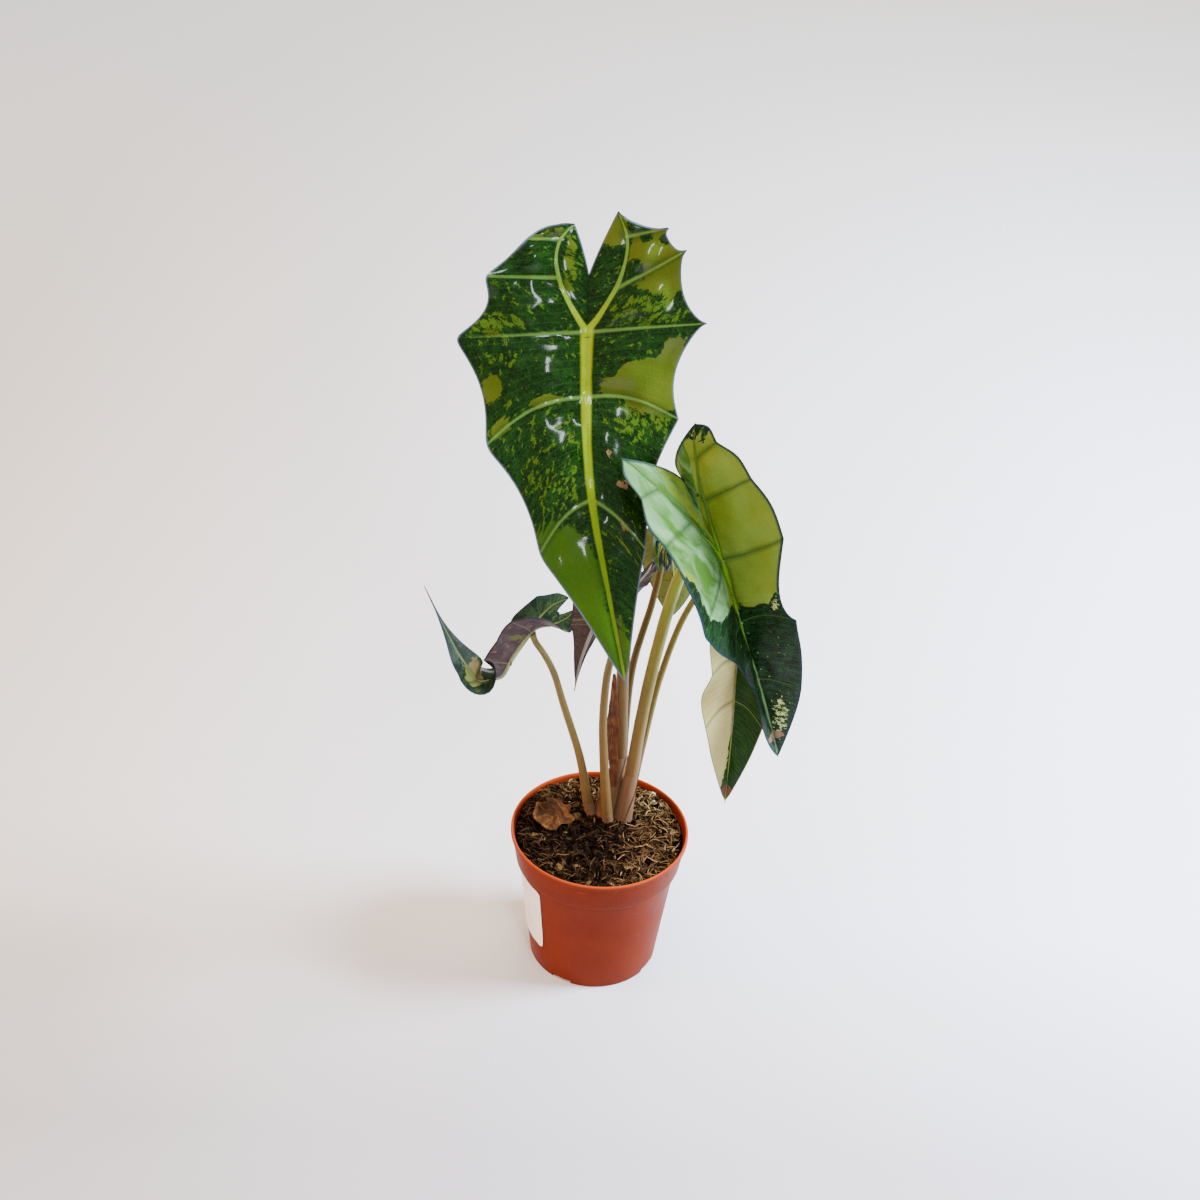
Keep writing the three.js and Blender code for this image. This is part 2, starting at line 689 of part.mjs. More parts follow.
function potProfile() {
  const lipInner = RIM_RADIUS - WALL;
  const collarTop = RIM_RADIUS - LIP_PROUD;
  const step = COLLAR_BOTTOM_HEIGHT;
  const ringInner = BASE_RADIUS - FOOT_RING_WIDTH;
  const profile = [
    [0, 0],
    [CHANNEL_INNER_RADIUS - 1, 0],
    [CHANNEL_INNER_RADIUS, CHANNEL_HEIGHT],
    [ringInner, CHANNEL_HEIGHT],
    [ringInner + 0.8, 0],
    [BASE_RADIUS - 0.9, 0],
    [BASE_RADIUS, 0.9],
    [WALL_TOP_RADIUS, step - 1.6],
    [WALL_TOP_RADIUS + 0.7, step - 0.4],
    [COLLAR_BOTTOM_RADIUS - 0.5, step + 0.2],
    [COLLAR_BOTTOM_RADIUS, step + 1.2],
    [collarTop, RIM_HEIGHT - LIP_HEIGHT],
    [RIM_RADIUS - 0.2, RIM_HEIGHT - LIP_HEIGHT + 0.3],
    [RIM_RADIUS, RIM_HEIGHT - LIP_HEIGHT + 1],
    [RIM_RADIUS, RIM_HEIGHT - 0.6],
    [RIM_RADIUS - 0.4, RIM_HEIGHT],
    [lipInner, RIM_HEIGHT],
    [collarTop - WALL, RIM_HEIGHT - LIP_HEIGHT],
    [COLLAR_BOTTOM_RADIUS - WALL, step + 1.6],
    [WALL_TOP_RADIUS - WALL, step - 0.8],
    [BASE_RADIUS - WALL, CHANNEL_HEIGHT + WALL + 0.4],
    [BASE_RADIUS - WALL - 0.6, CHANNEL_HEIGHT + WALL],
    [CHANNEL_INNER_RADIUS - 1, CHANNEL_HEIGHT + WALL],
    [CHANNEL_INNER_RADIUS - 2.4, WALL],
    [0, WALL],
  ];
  return profile.map(([radius, height]) => new THREE.Vector2(radius, height));
}

// LatheGeometry turns about Y: this stands it up on Z
function lathe(profile, segments) {
  return new THREE.LatheGeometry(profile, segments).rotateX(Math.PI / 2);
}

function makePot() {
  let pot = toSolid(lathe(potProfile(), POT_SEGMENTS));
  const ringMiddle = BASE_RADIUS - FOOT_RING_WIDTH / 2;
  const channelMiddle = (CHANNEL_INNER_RADIUS + BASE_RADIUS - FOOT_RING_WIDTH) / 2;
  for (let i = 0; i < DRAIN_COUNT; i += 1) {
    const angle = THREE.MathUtils.degToRad(DRAIN_FIRST_ANGLE + (360 * i) / DRAIN_COUNT);
    const notch = new THREE.BoxGeometry(FOOT_RING_WIDTH + 4, NOTCH_WIDTH, 2 * CHANNEL_HEIGHT)
      .translate(ringMiddle, 0, 0)
      .rotateZ(angle);
    const hole = new THREE.CylinderGeometry(DRAIN_RADIUS, DRAIN_RADIUS, 4 * CHANNEL_HEIGHT, 12)
      .rotateX(Math.PI / 2)
      .translate(channelMiddle, 0, 0)
      .rotateZ(angle);
    pot = pot.subtract(toSolid(notch)).subtract(toSolid(hole));
  }
  return fromSolid(pot);
}

// Inner radius of the pot's wall at a height
function innerRadius(height) {
  const profile = [
    [CHANNEL_HEIGHT + WALL, BASE_RADIUS - WALL - 0.6],
    [CHANNEL_HEIGHT + WALL + 0.4, BASE_RADIUS - WALL],
    [COLLAR_BOTTOM_HEIGHT - 0.8, WALL_TOP_RADIUS - WALL],
    [COLLAR_BOTTOM_HEIGHT + 1.6, COLLAR_BOTTOM_RADIUS - WALL],
    [RIM_HEIGHT - LIP_HEIGHT, RIM_RADIUS - LIP_PROUD - WALL],
    [RIM_HEIGHT, RIM_RADIUS - WALL],
  ];
  const i = Math.max(1, profile.findIndex(([level]) => level >= height));
  const [low, lowRadius] = profile[i - 1];
  const [high, highRadius] = profile[i];
  return mix(lowRadius, highRadius, (height - low) / (high - low));
}

function soilHeight(x, y) {
  const radius = Math.hypot(x, y);
  const angle = THREE.MathUtils.degToRad(SOIL_RISE_ANGLE);
  const rise = SOIL_RISE * (x * Math.cos(angle) + y * Math.sin(angle)) / RIM_RADIUS;
  const lumps = SOIL_LUMP * (smoothNoise(x / 9 + 20, y / 9 + 20) - 0.5);
  const crumbs = SOIL_CRUMB * (smoothNoise(x / 3.4 + 50, y / 3.4 + 50) - 0.5);
  const nearEdge = Math.max(0, (radius - 36) / 7);
  return SOIL_LEVEL + rise + (lumps + crumbs) * (1 - 0.5 * nearEdge);
}

// Soil: rings of points on top, a wall that follows the pot inside, and one hole for the crown
function makeSoil() {
  const points = [];
  const faces = [];
  const topEdge = innerRadius(SOIL_LEVEL - SOIL_RISE) - GAP - 2 * FACET_PLAY;
  const ringPoint = (radius, sector, height) => {
    const angle = (2 * Math.PI * sector) / SOIL_SECTORS;
    const x = radius * Math.cos(angle);
    const y = radius * Math.sin(angle);
    points.push([x, y, height ?? soilHeight(x, y)]);
  };
  points.push([0, 0, soilHeight(0, 0)]);
  for (let ring = 1; ring <= SOIL_RINGS; ring += 1) {
    for (let s = 0; s < SOIL_SECTORS; s += 1) ringPoint((topEdge * ring) / SOIL_RINGS, s);
  }
  const wall = [
    [COLLAR_BOTTOM_HEIGHT + 2.8, COLLAR_BOTTOM_HEIGHT + 2.8],
    [COLLAR_BOTTOM_HEIGHT - 0.2, COLLAR_BOTTOM_HEIGHT - 1.2],
    [CHANNEL_HEIGHT + WALL + 1.5, CHANNEL_HEIGHT + WALL + 0.4],
    [CHANNEL_HEIGHT + WALL + GAP, CHANNEL_HEIGHT + WALL],
  ];
  for (const [height, fitHeight] of wall) {
    const radius = innerRadius(fitHeight) - GAP - FACET_PLAY;
    for (let s = 0; s < SOIL_SECTORS; s += 1) ringPoint(radius, s, height);
  }
  points.push([0, 0, CHANNEL_HEIGHT + WALL + GAP]);
  const at = (ring, s) => 1 + (ring - 1) * SOIL_SECTORS + (s % SOIL_SECTORS);
  const rings = SOIL_RINGS + wall.length;
  const bottom = points.length - 1;
  for (let s = 0; s < SOIL_SECTORS; s += 1) {
    faces.push([0, at(1, s), at(1, s + 1)]);
    for (let ring = 1; ring < rings; ring += 1) {
      faces.push([at(ring, s), at(ring + 1, s), at(ring + 1, s + 1)]);
      faces.push([at(ring, s), at(ring + 1, s + 1), at(ring, s + 1)]);
    }
    faces.push([at(rings, s), bottom, at(rings, s + 1)]);
  }
  const holeRadius = CROWN_RADIUS + GAP + 0.2;
  const hole = new THREE.CylinderGeometry(holeRadius, holeRadius, RIM_HEIGHT, 2 * CROWN_SIDES)
    .rotateX(Math.PI / 2)
    .scale(1, CROWN_FLATNESS, 1)
    .translate(CROWN_CENTRE[0], CROWN_CENTRE[1], CROWN_BOTTOM - GAP + RIM_HEIGHT / 2);
  return fromSolid(toSolid(geometryFrom(points, faces)).subtract(toSolid(hole)));
}

// Crown: a squat stem in the soil's hole, with the sheath of each stalk grown to it
function makeCrown() {
  const [x, y] = CROWN_CENTRE;
  const profile = [
    [0, CROWN_BOTTOM],
    [CROWN_RADIUS * 0.6, CROWN_BOTTOM],
    [CROWN_RADIUS * 0.95, CROWN_BOTTOM + 10],
    [CROWN_RADIUS, CROWN_TOP - 6],
    [CROWN_RADIUS * 0.93, CROWN_TOP - 2],
    [CROWN_RADIUS * 0.7, CROWN_TOP],
    [0, CROWN_TOP + 2],
  ].map(([radius, height]) => new THREE.Vector2(radius, height));
  let crown = toSolid(lathe(profile, CROWN_SIDES).scale(1, CROWN_FLATNESS, 1).translate(x, y, 0));
  for (const stalk of STALKS) {
    const [top, next] = stalk.route.map((place) => new THREE.Vector3(...place));
    const way = next.clone().sub(top).normalize();
    const end = top.clone().addScaledVector(way, -GAP);
    const route = [stalk.sheath, mixPoint(stalk.sheath, end.toArray(), 0.5), end.toArray()];
    const radii = [stalk.sheathRadius, mix(stalk.sheathRadius, stalk.radii[0], 0.6), stalk.radii[0]];
    crown = crown.add(toSolid(makeStalk(route, radii, new THREE.Vector3(0, 0, 1), way, 5)));
  }
  return fromSolid(crown);
}

// Dry sheath: cross strips of three places along the route, the middle one set back
function makeSheath() {
  const curve = new THREE.CatmullRomCurve3(SHEATH_ROUTE.map((place) => new THREE.Vector3(...place)));
  const steps = 10;
  const places = [];
  const triangles = [];
  const back = new THREE.Vector3(0.15, 1, 0).normalize();
  for (let i = 0; i <= steps; i += 1) {
    const t = i / steps;
    const along = curve.getTangent(t);
    const across = new THREE.Vector3().crossVectors(along, back).normalize();
    const place = t * (SHEATH_WIDTHS.length - 1);
    const lower = Math.min(Math.floor(place), SHEATH_WIDTHS.length - 2);
    const width = mix(SHEATH_WIDTHS[lower], SHEATH_WIDTHS[lower + 1], place - lower);
    const wave = 0.8 * (smoothNoise(i * 0.9, 7) - 0.5);
    for (const side of [-1, 0, 1]) {
      const point = curve.getPoint(t)
        .addScaledVector(across, side * width * (0.5 + 0.1 * wave))
        .addScaledVector(back, side === 0 ? SHEATH_HOLLOW * Math.min(1, width / 5) : side * wave);
      places.push({ point, above: SHEATH_HALF_THICKNESS, below: SHEATH_HALF_THICKNESS });
    }
  }
  for (let i = 0; i < steps; i += 1) {
    for (const j of [0, 1]) {
      const a = 3 * i + j;
      triangles.push([a, a + 1, a + 4], [a, a + 4, a + 3]);
    }
  }
  return thicken(places, triangles);
}

// Highest soil close to a place
function soilTop(x, y) {
  let top = -Infinity;
  for (const dx of [-1.5, 0, 1.5]) {
    for (const dy of [-1.5, 0, 1.5]) top = Math.max(top, soilHeight(x + dx, y + dy));
  }
  return top;
}

// Dead leaf: a ragged, crumpled sheet on the soil with its edge curled up
function makeDeadLeaf() {
  const rings = 5;
  const sectors = 18;
  const [centreX, centreY] = DEAD_LEAF_CENTRE;
  const turn = THREE.MathUtils.degToRad(DEAD_LEAF_TURN);
  const places = [];
  const triangles = [];
  const addPoint = (ring, sector) => {
    const angle = (2 * Math.PI * sector) / sectors;
    const ragged = 0.82 + 0.36 * hash(sector, 3) * (ring / rings);
    const reach = (ring / rings) * ragged;
    const along = DEAD_LEAF_SIZE[0] * reach * Math.cos(angle);
    const across = DEAD_LEAF_SIZE[1] * reach * Math.sin(angle);
    const x = centreX + along * Math.cos(turn) - across * Math.sin(turn);
    const y = centreY + along * Math.sin(turn) + across * Math.cos(turn);
    const edge = (ring / rings) ** 2;
    const curl = DEAD_LEAF_CURL * edge * (0.35 + 0.65 * Math.sin(angle) ** 2);
    const crumple = 1.6 * smoothNoise(x / 2.7, y / 2.7);
    const point = new THREE.Vector3(x, y, soilTop(x, y) + GAP + HALF_BLADE + curl + crumple);
    places.push({ point, above: HALF_BLADE, below: HALF_BLADE });
  };
  addPoint(0, 0);
  for (let ring = 1; ring <= rings; ring += 1) {
    for (let sector = 0; sector < sectors; sector += 1) addPoint(ring, sector);
  }
  const at = (ring, sector) => 1 + (ring - 1) * sectors + (sector % sectors);
  for (let sector = 0; sector < sectors; sector += 1) {
    triangles.push([0, at(1, sector), at(1, sector + 1)]);
    for (let ring = 1; ring < rings; ring += 1) {
      triangles.push([at(ring, sector), at(ring + 1, sector), at(ring + 1, sector + 1)]);
      triangles.push([at(ring, sector), at(ring + 1, sector + 1), at(ring, sector + 1)]);
    }
  }
  return thicken(places, triangles);
}

// Label: a thin curved sheet on the pot's tapered wall
function makeLabel() {
  const columns = 10;
  const rows = 2;
  const places = [];
  const triangles = [];
  for (let i = 0; i <= rows; i += 1) {
    const height = mix(LABEL_BOTTOM, LABEL_TOP, i / rows);
    const wall = mix(BASE_RADIUS, WALL_TOP_RADIUS, (height - 0.9) / (COLLAR_BOTTOM_HEIGHT - 2.5));
    for (let j = 0; j <= columns; j += 1) {
      const angle = THREE.MathUtils.degToRad(mix(LABEL_FROM_ANGLE, LABEL_TO_ANGLE, j / columns));
      const radius = wall + GAP + 0.1 + LABEL_THICKNESS / 2;
      const point = new THREE.Vector3(radius * Math.cos(angle), radius * Math.sin(angle), height);
      places.push({ point, above: LABEL_THICKNESS / 2, below: LABEL_THICKNESS / 2 });
    }
  }
  for (let i = 0; i < rows; i += 1) {
    for (let j = 0; j < columns; j += 1) {
      const a = i * (columns + 1) + j;
      const above = a + columns + 1;
      triangles.push([a, a + 1, above + 1], [a, above + 1, above]);
    }
  }
  return thicken(places, triangles);
}

const plant = new THREE.Group();
for (const leaf of [FRONT_LEAF, RIGHT_LEAF]) completeLeaf(leaf, FINE_GRID, 1);
for (const leaf of [HANGING_LEAF, LEFT_LEAF, BACK_LEAF, REAR_LEAF]) completeLeaf(leaf, PLAIN_GRID, 0.6);

plant.add(makeMesh('pot', makePot(), '#a8482a', 0.45));
plant.add(makeMesh('label', makeLabel(), '#f2efe8', 0.5));
plant.add(makeMesh('soil', makeSoil(), '#2c221a', 0.95));
plant.add(makeMesh('crown', makeCrown(), '#b08a6a', 0.6));
for (const stalk of STALKS) {
  const seat = seatUnderBlade(stalk.leaf);
  const [foot, next] = stalk.route.map((place) => new THREE.Vector3(...place));
  const way = next.sub(foot).normalize();
  const route = [...stalk.route, seat.point.toArray()];
  const geometry = makeStalk(route, stalk.radii, way, seat.normal, STALK_STEPS);
  plant.add(makeMesh(stalk.name, geometry, '#a08a5c', 0.5));
}
plant.add(makeMesh('front_blade', makeBlade(FRONT_LEAF), '#2f5a1c', 0.3));
plant.add(makeMesh('right_blade', makeBlade(RIGHT_LEAF), '#7f9a35', 0.3));
plant.add(makeMesh('hanging_blade', makeBlade(HANGING_LEAF), '#d8d0a0', 0.35));
plant.add(makeMesh('left_blade', makeBlade(LEFT_LEAF), '#4a3040', 0.4));
plant.add(makeMesh('back_blade', makeBlade(BACK_LEAF), '#5a4050', 0.4));
plant.add(makeMesh('rear_blade', makeBlade(REAR_LEAF), '#5a7050', 0.4));
plant.add(makeMesh('dry_sheath', makeSheath(), '#7a4a34', 0.8));
plant.add(makeMesh('dead_leaf', makeDeadLeaf(), '#4a3020', 0.85));

export default plant;
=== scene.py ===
"""Looks of a variegated alocasia in a small nursery pot, on a pale studio floor.

Leaf shapes are worked out here again from the same few sizes as the solids, on a fine grid.
Sizes below are in millimetres; the objects are in metres.
"""
import math
from functools import partial

import bpy
import numpy as np
from mathutils import Matrix, Vector


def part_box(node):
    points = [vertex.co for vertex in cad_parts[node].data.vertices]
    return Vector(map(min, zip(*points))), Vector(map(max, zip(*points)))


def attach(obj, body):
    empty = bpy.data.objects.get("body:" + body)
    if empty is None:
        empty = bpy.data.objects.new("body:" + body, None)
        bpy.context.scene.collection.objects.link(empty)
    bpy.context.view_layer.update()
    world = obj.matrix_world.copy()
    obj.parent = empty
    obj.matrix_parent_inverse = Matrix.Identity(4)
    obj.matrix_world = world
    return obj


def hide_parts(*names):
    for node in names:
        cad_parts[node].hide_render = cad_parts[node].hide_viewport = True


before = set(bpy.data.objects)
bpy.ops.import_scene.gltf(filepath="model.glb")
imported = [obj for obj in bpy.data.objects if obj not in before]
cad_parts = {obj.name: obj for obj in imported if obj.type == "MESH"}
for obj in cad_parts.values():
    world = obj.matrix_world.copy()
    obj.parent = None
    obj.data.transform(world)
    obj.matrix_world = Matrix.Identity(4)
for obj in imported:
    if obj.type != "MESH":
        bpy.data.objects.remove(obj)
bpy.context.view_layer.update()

bl_info = {
    "name": "Potted variegated alocasia",
    "version": (1, 0, 0),
    "blender": (4, 5, 0),
    "location": "3D View > Sidebar > Plant",
    "description": "Builds the leaves, stalks, soil, pot and studio of a potted foliage plant",
    "category": "Add Mesh",
}

MM = 0.001

# The photograph's view: degrees, and metres for its place
VIEW_TURN, VIEW_TILT, VIEW_ROLL = -0.47, 34.94, 3.53
VIEW_PLACE = (0.0, -0.847, 0.812)
SENSOR_WIDTH = 36.0
FLOOR_REACH = 9.0

# Pot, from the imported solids: rim radius and rim height in millimetres
POT_LOW, POT_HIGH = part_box("pot")
RIM_RADIUS = (POT_HIGH.x - POT_LOW.x) / 2 / MM
RIM_HEIGHT = POT_HIGH.z / MM

COLLAR_BOTTOM_RADIUS = 42.0
COLLAR_BOTTOM_HEIGHT = 62.0
WALL_TOP_RADIUS = 39.6
BASE_RADIUS = 32.7
WALL = 1.2
LIP_HEIGHT = 2.8
LIP_PROUD = 0.9
FOOT_RING_WIDTH = 5.0
CHANNEL_INNER_RADIUS = 18.0
CHANNEL_HEIGHT = 2.2
DRAIN_COUNT = 4
DRAIN_FIRST_ANGLE = 243.0
DRAIN_RADIUS = 3.4
NOTCH_WIDTH = 11.0
POT_SEGMENTS = 192

LABEL_FROM_ANGLE = 165.0
LABEL_TO_ANGLE = 225.0
LABEL_BOTTOM = 18.0
LABEL_TOP = 58.0
LABEL_CORNER = 2.5
WALL_BEHIND_LABEL = 36.0

SOIL_LEVEL = 76.3
SOIL_RISE = 2.7
SOIL_RISE_ANGLE = 125.0
SOIL_LUMP = 2.6
SOIL_CRUMB = 1.6
CROWN_CENTRE = (4.5, 17.0)
CROWN_RADIUS = 13.5
CROWN_FLATNESS = 0.815
CROWN_TOP = 75.0
CROWN_BOTTOM = 44.0

GAP = 0.3
HALF_BLADE = 0.35
MIDRIB_DEPTH = 1.5
BASAL_RIB_DEPTH = 1.0
VEIN_DEPTH = 0.7
LEAST_CURL = 1e-4

# Grid of a blade: rows of each span from the tip to the lobe's end, columns out and inwards
BLADE_ROWS = (34, 22, 22, 14, 14, 14)
BLADE_COLUMNS = 30
BASAL_COLUMNS = 12

# How the coarse solids space their rows from one vein to the next; the sinus follows it
FINE_SPAN = (0, 0.1, 0.3, 0.5, 0.7, 0.9, 1)
PLAIN_SPAN = (0, 0.14, 0.5, 0.86, 1)


def half(veins, dips, lobe_tip, rib_middle, inner_margin, teeth=(), rounding=0):
    """One half of a leaf laid flat: (along, across) places in millimetres."""
    return {"veins": veins, "dips": dips, "lobe_tip": lobe_tip, "rib_middle": rib_middle,
            "inner_margin": inner_margin, "teeth": teeth, "rounding": rounding}


HANGING_HALF = half(
    [(58, 68, 16), (34, 40, 14), (0, 4, 13), (-9, -12, 12), (-18, -20, 9)],
    [(98, 8), (54, 17), (22, 15), (-4, 13), (-17, 12), (-24, 8)],
    (-25, 5), (-13, 5), (-17, 2),
)
REAR_HALF = half(
    [(36, 42, 12), (18, 26, 15), (0, 6, 13), (-12, -14, 5), (-20, -22, 4.6)],
    [(56, 5.5), (34, 14.5), (17, 15.5), (-4, 7.5), (-18, 5), (-26, 4)],
    (-28, 1.5), (-13, 1.6), (-26, 0.8),
)


def small_half(length, width):
    """The outline that two small leaves share, at a leaf's own length and width."""
    def scale(place):
        return (place[0] * length, place[1] * width)
    veins = [(42, 50, 13), (19, 26, 20), (0, 3, 23), (-9, -14, 20), (-19, -24, 14)]
    dips = [(72, 6), (37, 15), (13, 19), (-5, 20), (-19, 17), (-28, 10)]
    return half([(root * length, *scale((u, v))) for root, u, v in veins],
                [scale(dip) for dip in dips], scale((-29, 5)), scale((-15, 7)), scale((-20, 2)))


# Each leaf: its spine (place, facing, fold left and right, curl left and right for each 10 mm),
# which place of it is over the stalk, half widths of the midrib by the stalk and at the tip, of
# the basal rib and of the side veins, and its two halves
LEAVES = {
    "front": {
        "stalk_key": 1, "sinus": 24, "drip": 0.16, "quilt": 2.4, "ripple": 1.6, "stout": 1.0,
        "span": FINE_SPAN, "rib_width": (3.4, 0.75, 1.7, 1.05),
        "spine": [
            ((-20, -10, 422), (0, -0.84, 0.54), (12, 12), (2, 2)),
            ((-19, -32, 378), (0, -0.86, 0.5), (14, 14), (-4, -4)),
            ((-14, -60, 323), (0, -0.88, 0.46), (10, -2), (-3, -6)),
            ((-1, -84, 274), (-0.05, -0.92, 0.4), (14, 8), (-2, -4)),
            ((8, -96, 241), (-0.1, -0.94, 0.3), (14, 14), (0, 0)),
        ],
        "left": half(
            [(70, 89, 26), (27, 46, 43), (0, 3, 56), (-19, -21, 45), (-38, -37, 28)],
            [(120, 12), (66, 29), (25, 44), (-9, 42), (-28, 35), (-43, 18)],
            (-44, 7), (-27, 14), (-34, 3), rounding=5),
        "right": half(
            [(70, 95, 19), (27, 37, 39), (0, -5, 49), (-17, -35, 40), (-41, -44, 32)],
            [(120, 10), (66, 27), (15, 38), (-18, 40), (-38, 34), (-45, 21)],
            (-50, 11), (-28, 15), (-37, 5), teeth=((2, 1.2), (3, 1.6), (4, 1.6))),
    },
    "right": {
        "stalk_key": 1, "sinus": 42, "drip": 0.06, "quilt": 1.4, "ripple": 0.8, "stout": 1.0,
        "span": FINE_SPAN, "rib_width": (1.9, 0.9, 1.0, 0.7),
        "spine": [
            ((16.8, -44, 333), (0.12, -0.88, 0.45), (60, 48), (0, 0)),
            ((45, -50, 281), (0.16, -0.92, 0.32), (60, 50), (-4, -4)),
            ((57, -50, 245), (0.24, -0.96, 0.14), (54, 48), (-2, -2)),
            ((69, -44, 207), (0.42, -0.9, 0.05), (44, 40), (0, 0)),
            ((82, -32, 159), (0.5, -0.86, -0.05), (34, 30), (0, 0)),
        ],
        "left": half(
            [(70, 80, 6), (34, 45, 15), (0, 18, 33), (-26, -33, 41), (-54, -60, 46)],
            [(105.5, 6.5), (62, 8), (33, 23), (-5, 33), (-46, 45), (-72, 47)],
            (-79, 44), (-45, 21), (-57, 14), rounding=2.5),
        "right": half(
            [(70, 76, 20), (34, 27, 31), (0, -9, 36), (-28, -37, 35), (-50, -58, 28)],
            [(103.5, 10.5), (48, 27), (15, 25), (-23, 36.5), (-48, 33), (-65, 26)],
            (-68, 21), (-38, 8), (-54, 3)),
    },
    "hanging": {
        "stalk_key": 1, "sinus": 10, "drip": 0.12, "quilt": 1.0, "ripple": 1.8, "stout": 0.6,
        "span": PLAIN_SPAN, "rib_width": (1.2, 0.4, 0.9, 0.5),
        "spine": [
            ((62, 2, 254), (0.1, -0.8, 0.5), (20, 24), (0, 0)),
            ((60, -8, 237), (0.1, -0.92, 0.35), (24, 28), (-3, -3)),
            ((59, -16, 201), (0.12, -0.98, 0.15), (24, 30), (-3, -3)),
            ((60, -18, 159), (0.1, -1, 0.05), (24, 30), (0, 0)),
            ((60.5, -15, 114), (0.1, -1, 0), (24, 30), (0, 0)),
        ],
        "left": HANGING_HALF, "right": HANGING_HALF,
    },
    "left": {
        "stalk_key": 2, "sinus": 19, "drip": 0.8, "quilt": 0.7, "ripple": 0.6, "stout": 0.6,
        "span": PLAIN_SPAN, "rib_width": (1.2, 0.4, 0.9, 0.5),
        "spine": [
            ((-20, 10, 210), (-0.1, 0.1, 1), (50, -30), (0, 0)),
            ((-31, -3, 208.6), (-0.1, 0.2, 1), (46, -15), (0, 0)),
            ((-38, -11, 207), (-0.15, 0.3, 0.95), (24, 58), (0, 0)),
            ((-45, -17, 198), (-0.35, 0.45, 0.8), (5, 68), (0, 0)),
            ((-52, -22, 187), (-0.3, 0.3, 0.9), (10, 62), (0, 0)),
            ((-60, -26, 187), (0.2, -0.2, 0.95), (15, 20), (0, 0)),
            ((-68, -29, 200), (0.45, -0.65, 0.6), (12, 12), (0, 0)),
            ((-75, -32, 217), (0.5, -0.8, 0.3), (10, 10), (0, 0)),
            ((-86, -36, 247), (0.5, -0.8, 0.3), (0, 0), (0, 0)),
        ],
        "left": small_half(0.95, 0.62), "right": small_half(0.95, 0.62),
    },
    "back": {
        "stalk_key": 1, "sinus": 10, "drip": 0.2, "quilt": 0.6, "ripple": 0.8, "stout": 0.6,
        "span": PLAIN_SPAN, "rib_width": (1.6, 0.5, 0.9, 0.5),
        "spine": [
            ((20, -40, 283), (-0.2, 0.9, 0.38), (16, 16), (0, 0)),
            ((5, -26, 245), (-0.2, 0.9, 0.38), (16, 16), (0, 0)),
            ((-6, -17.5, 223), (-0.2, 0.9, 0.38), (18, 18), (0, 0)),
            ((-13, -6, 194), (-0.2, 0.9, 0.38), (20, 20), (0, 0)),
            ((-17, 10, 158), (-0.2, 0.9, 0.38), (30, 30), (0, 0)),
        ],
        "left": small_half(0.8, 0.48), "right": small_half(0.8, 0.85),
    },
    "rear": {
        "stalk_key": 3, "sinus": 24, "drip": 0.1, "quilt": 0.6, "ripple": 0.5, "stout": 0.6,
        "span": PLAIN_SPAN, "rib_width": (1.1, 0.4, 0.8, 0.5),
        "spine": [
            ((21.5, 13, 229.6), (0, -0.95, 0.1), (0, 0), (0, 0)),
            ((20.8, 13.5, 241), (0, -0.8, 0.6), (0, 0), (0, 0)),
            ((22, 19, 248), (0, 0.1, 1), (5, 5), (0, 0)),
            ((23, 26, 244), (0, 0.85, 0.5), (10, 10), (0, 0)),
            ((27, 34, 215), (0, 0.9, 0.35), (15, 15), (0, 0)),
            ((28.5, 42, 184), (0, 0.9, 0.35), (20, 20), (0, 0)),
        ],
        "left": REAR_HALF, "right": REAR_HALF,
    },
}

# Each stalk: its sheath's start in the crown and radius there, its route up, its three radii
STALKS = {
    "front": {"sheath": (3.5, 18, 72), "sheath_radius": 8.4, "radii": (3.2, 2.9, 2.4),
              "route": [(8, 18, 113), (6, 10, 175), (4, 2, 232), (-8, -14, 311), (-15, -24, 356)]},
    "right": {"sheath": (10.2, 14, 70), "sheath_radius": 5.8, "radii": (3.4, 3.0, 2.6),
              "route": [(14.2, 11, 108), (16.5, 8.8, 140), (20, 3, 178), (26, -8, 228),
                        (31, -19, 256), (38, -32, 272)]},
    "hanging": {"sheath": (13, 18.5, 70), "sheath_radius": 3.2, "radii": (2.0, 1.7, 1.5),
                "route": [(15, 19.5, 88), (19.5, 18.5, 126), (25, 15, 168), (34, 8, 210),
                          (42, 2, 230), (51, -1, 238), (57, -3, 239)]},
    "left": {"sheath": (-1.5, 15, 62), "sheath_radius": 3.6, "radii": (2.7, 1.9, 1.5),
             "route": [(-7, 15, 84), (-12, 12, 114), (-22.2, 4, 156), (-26.9, -1, 176.4),
                       (-31.5, -5.5, 190), (-36, -9.6, 200.5)]},
    "back": {"sheath": (5, 10.5, 70), "sheath_radius": 3.6, "radii": (2.9, 2.0, 1.6),
             "route": [(3.2, 9, 83), (0.5, 6, 112), (-1.8, 0, 148), (-1.3, -8, 182),
                       (0.8, -18, 204), (2.8, -28, 228), (4.6, -30.5, 240)]},
    "rear": {"sheath": (9.5, 23.5, 70), "sheath_radius": 3.4, "radii": (2.4, 1.9, 1.6),
             "route": [(10, 25, 88), (9.5, 27, 120), (11, 24, 165), (18, 21, 206), (21, 21, 228)]},
}

SHEATH_ROUTE = [(6, 12.1, 97), (4.6, 12.2, 112), (3.2, 12, 130), (2.8, 9.5, 151), (2.2, 7, 172)]
SHEATH_WIDTHS = (2, 4.6, 6, 4, 1.2)
SHEATH_STEPS = 26
DEAD_LEAF_CENTRE = (-26, 6)
DEAD_LEAF_SIZE = (13, 10)
DEAD_LEAF_TURN = 35.0
DEAD_LEAF_CURL = 4.2

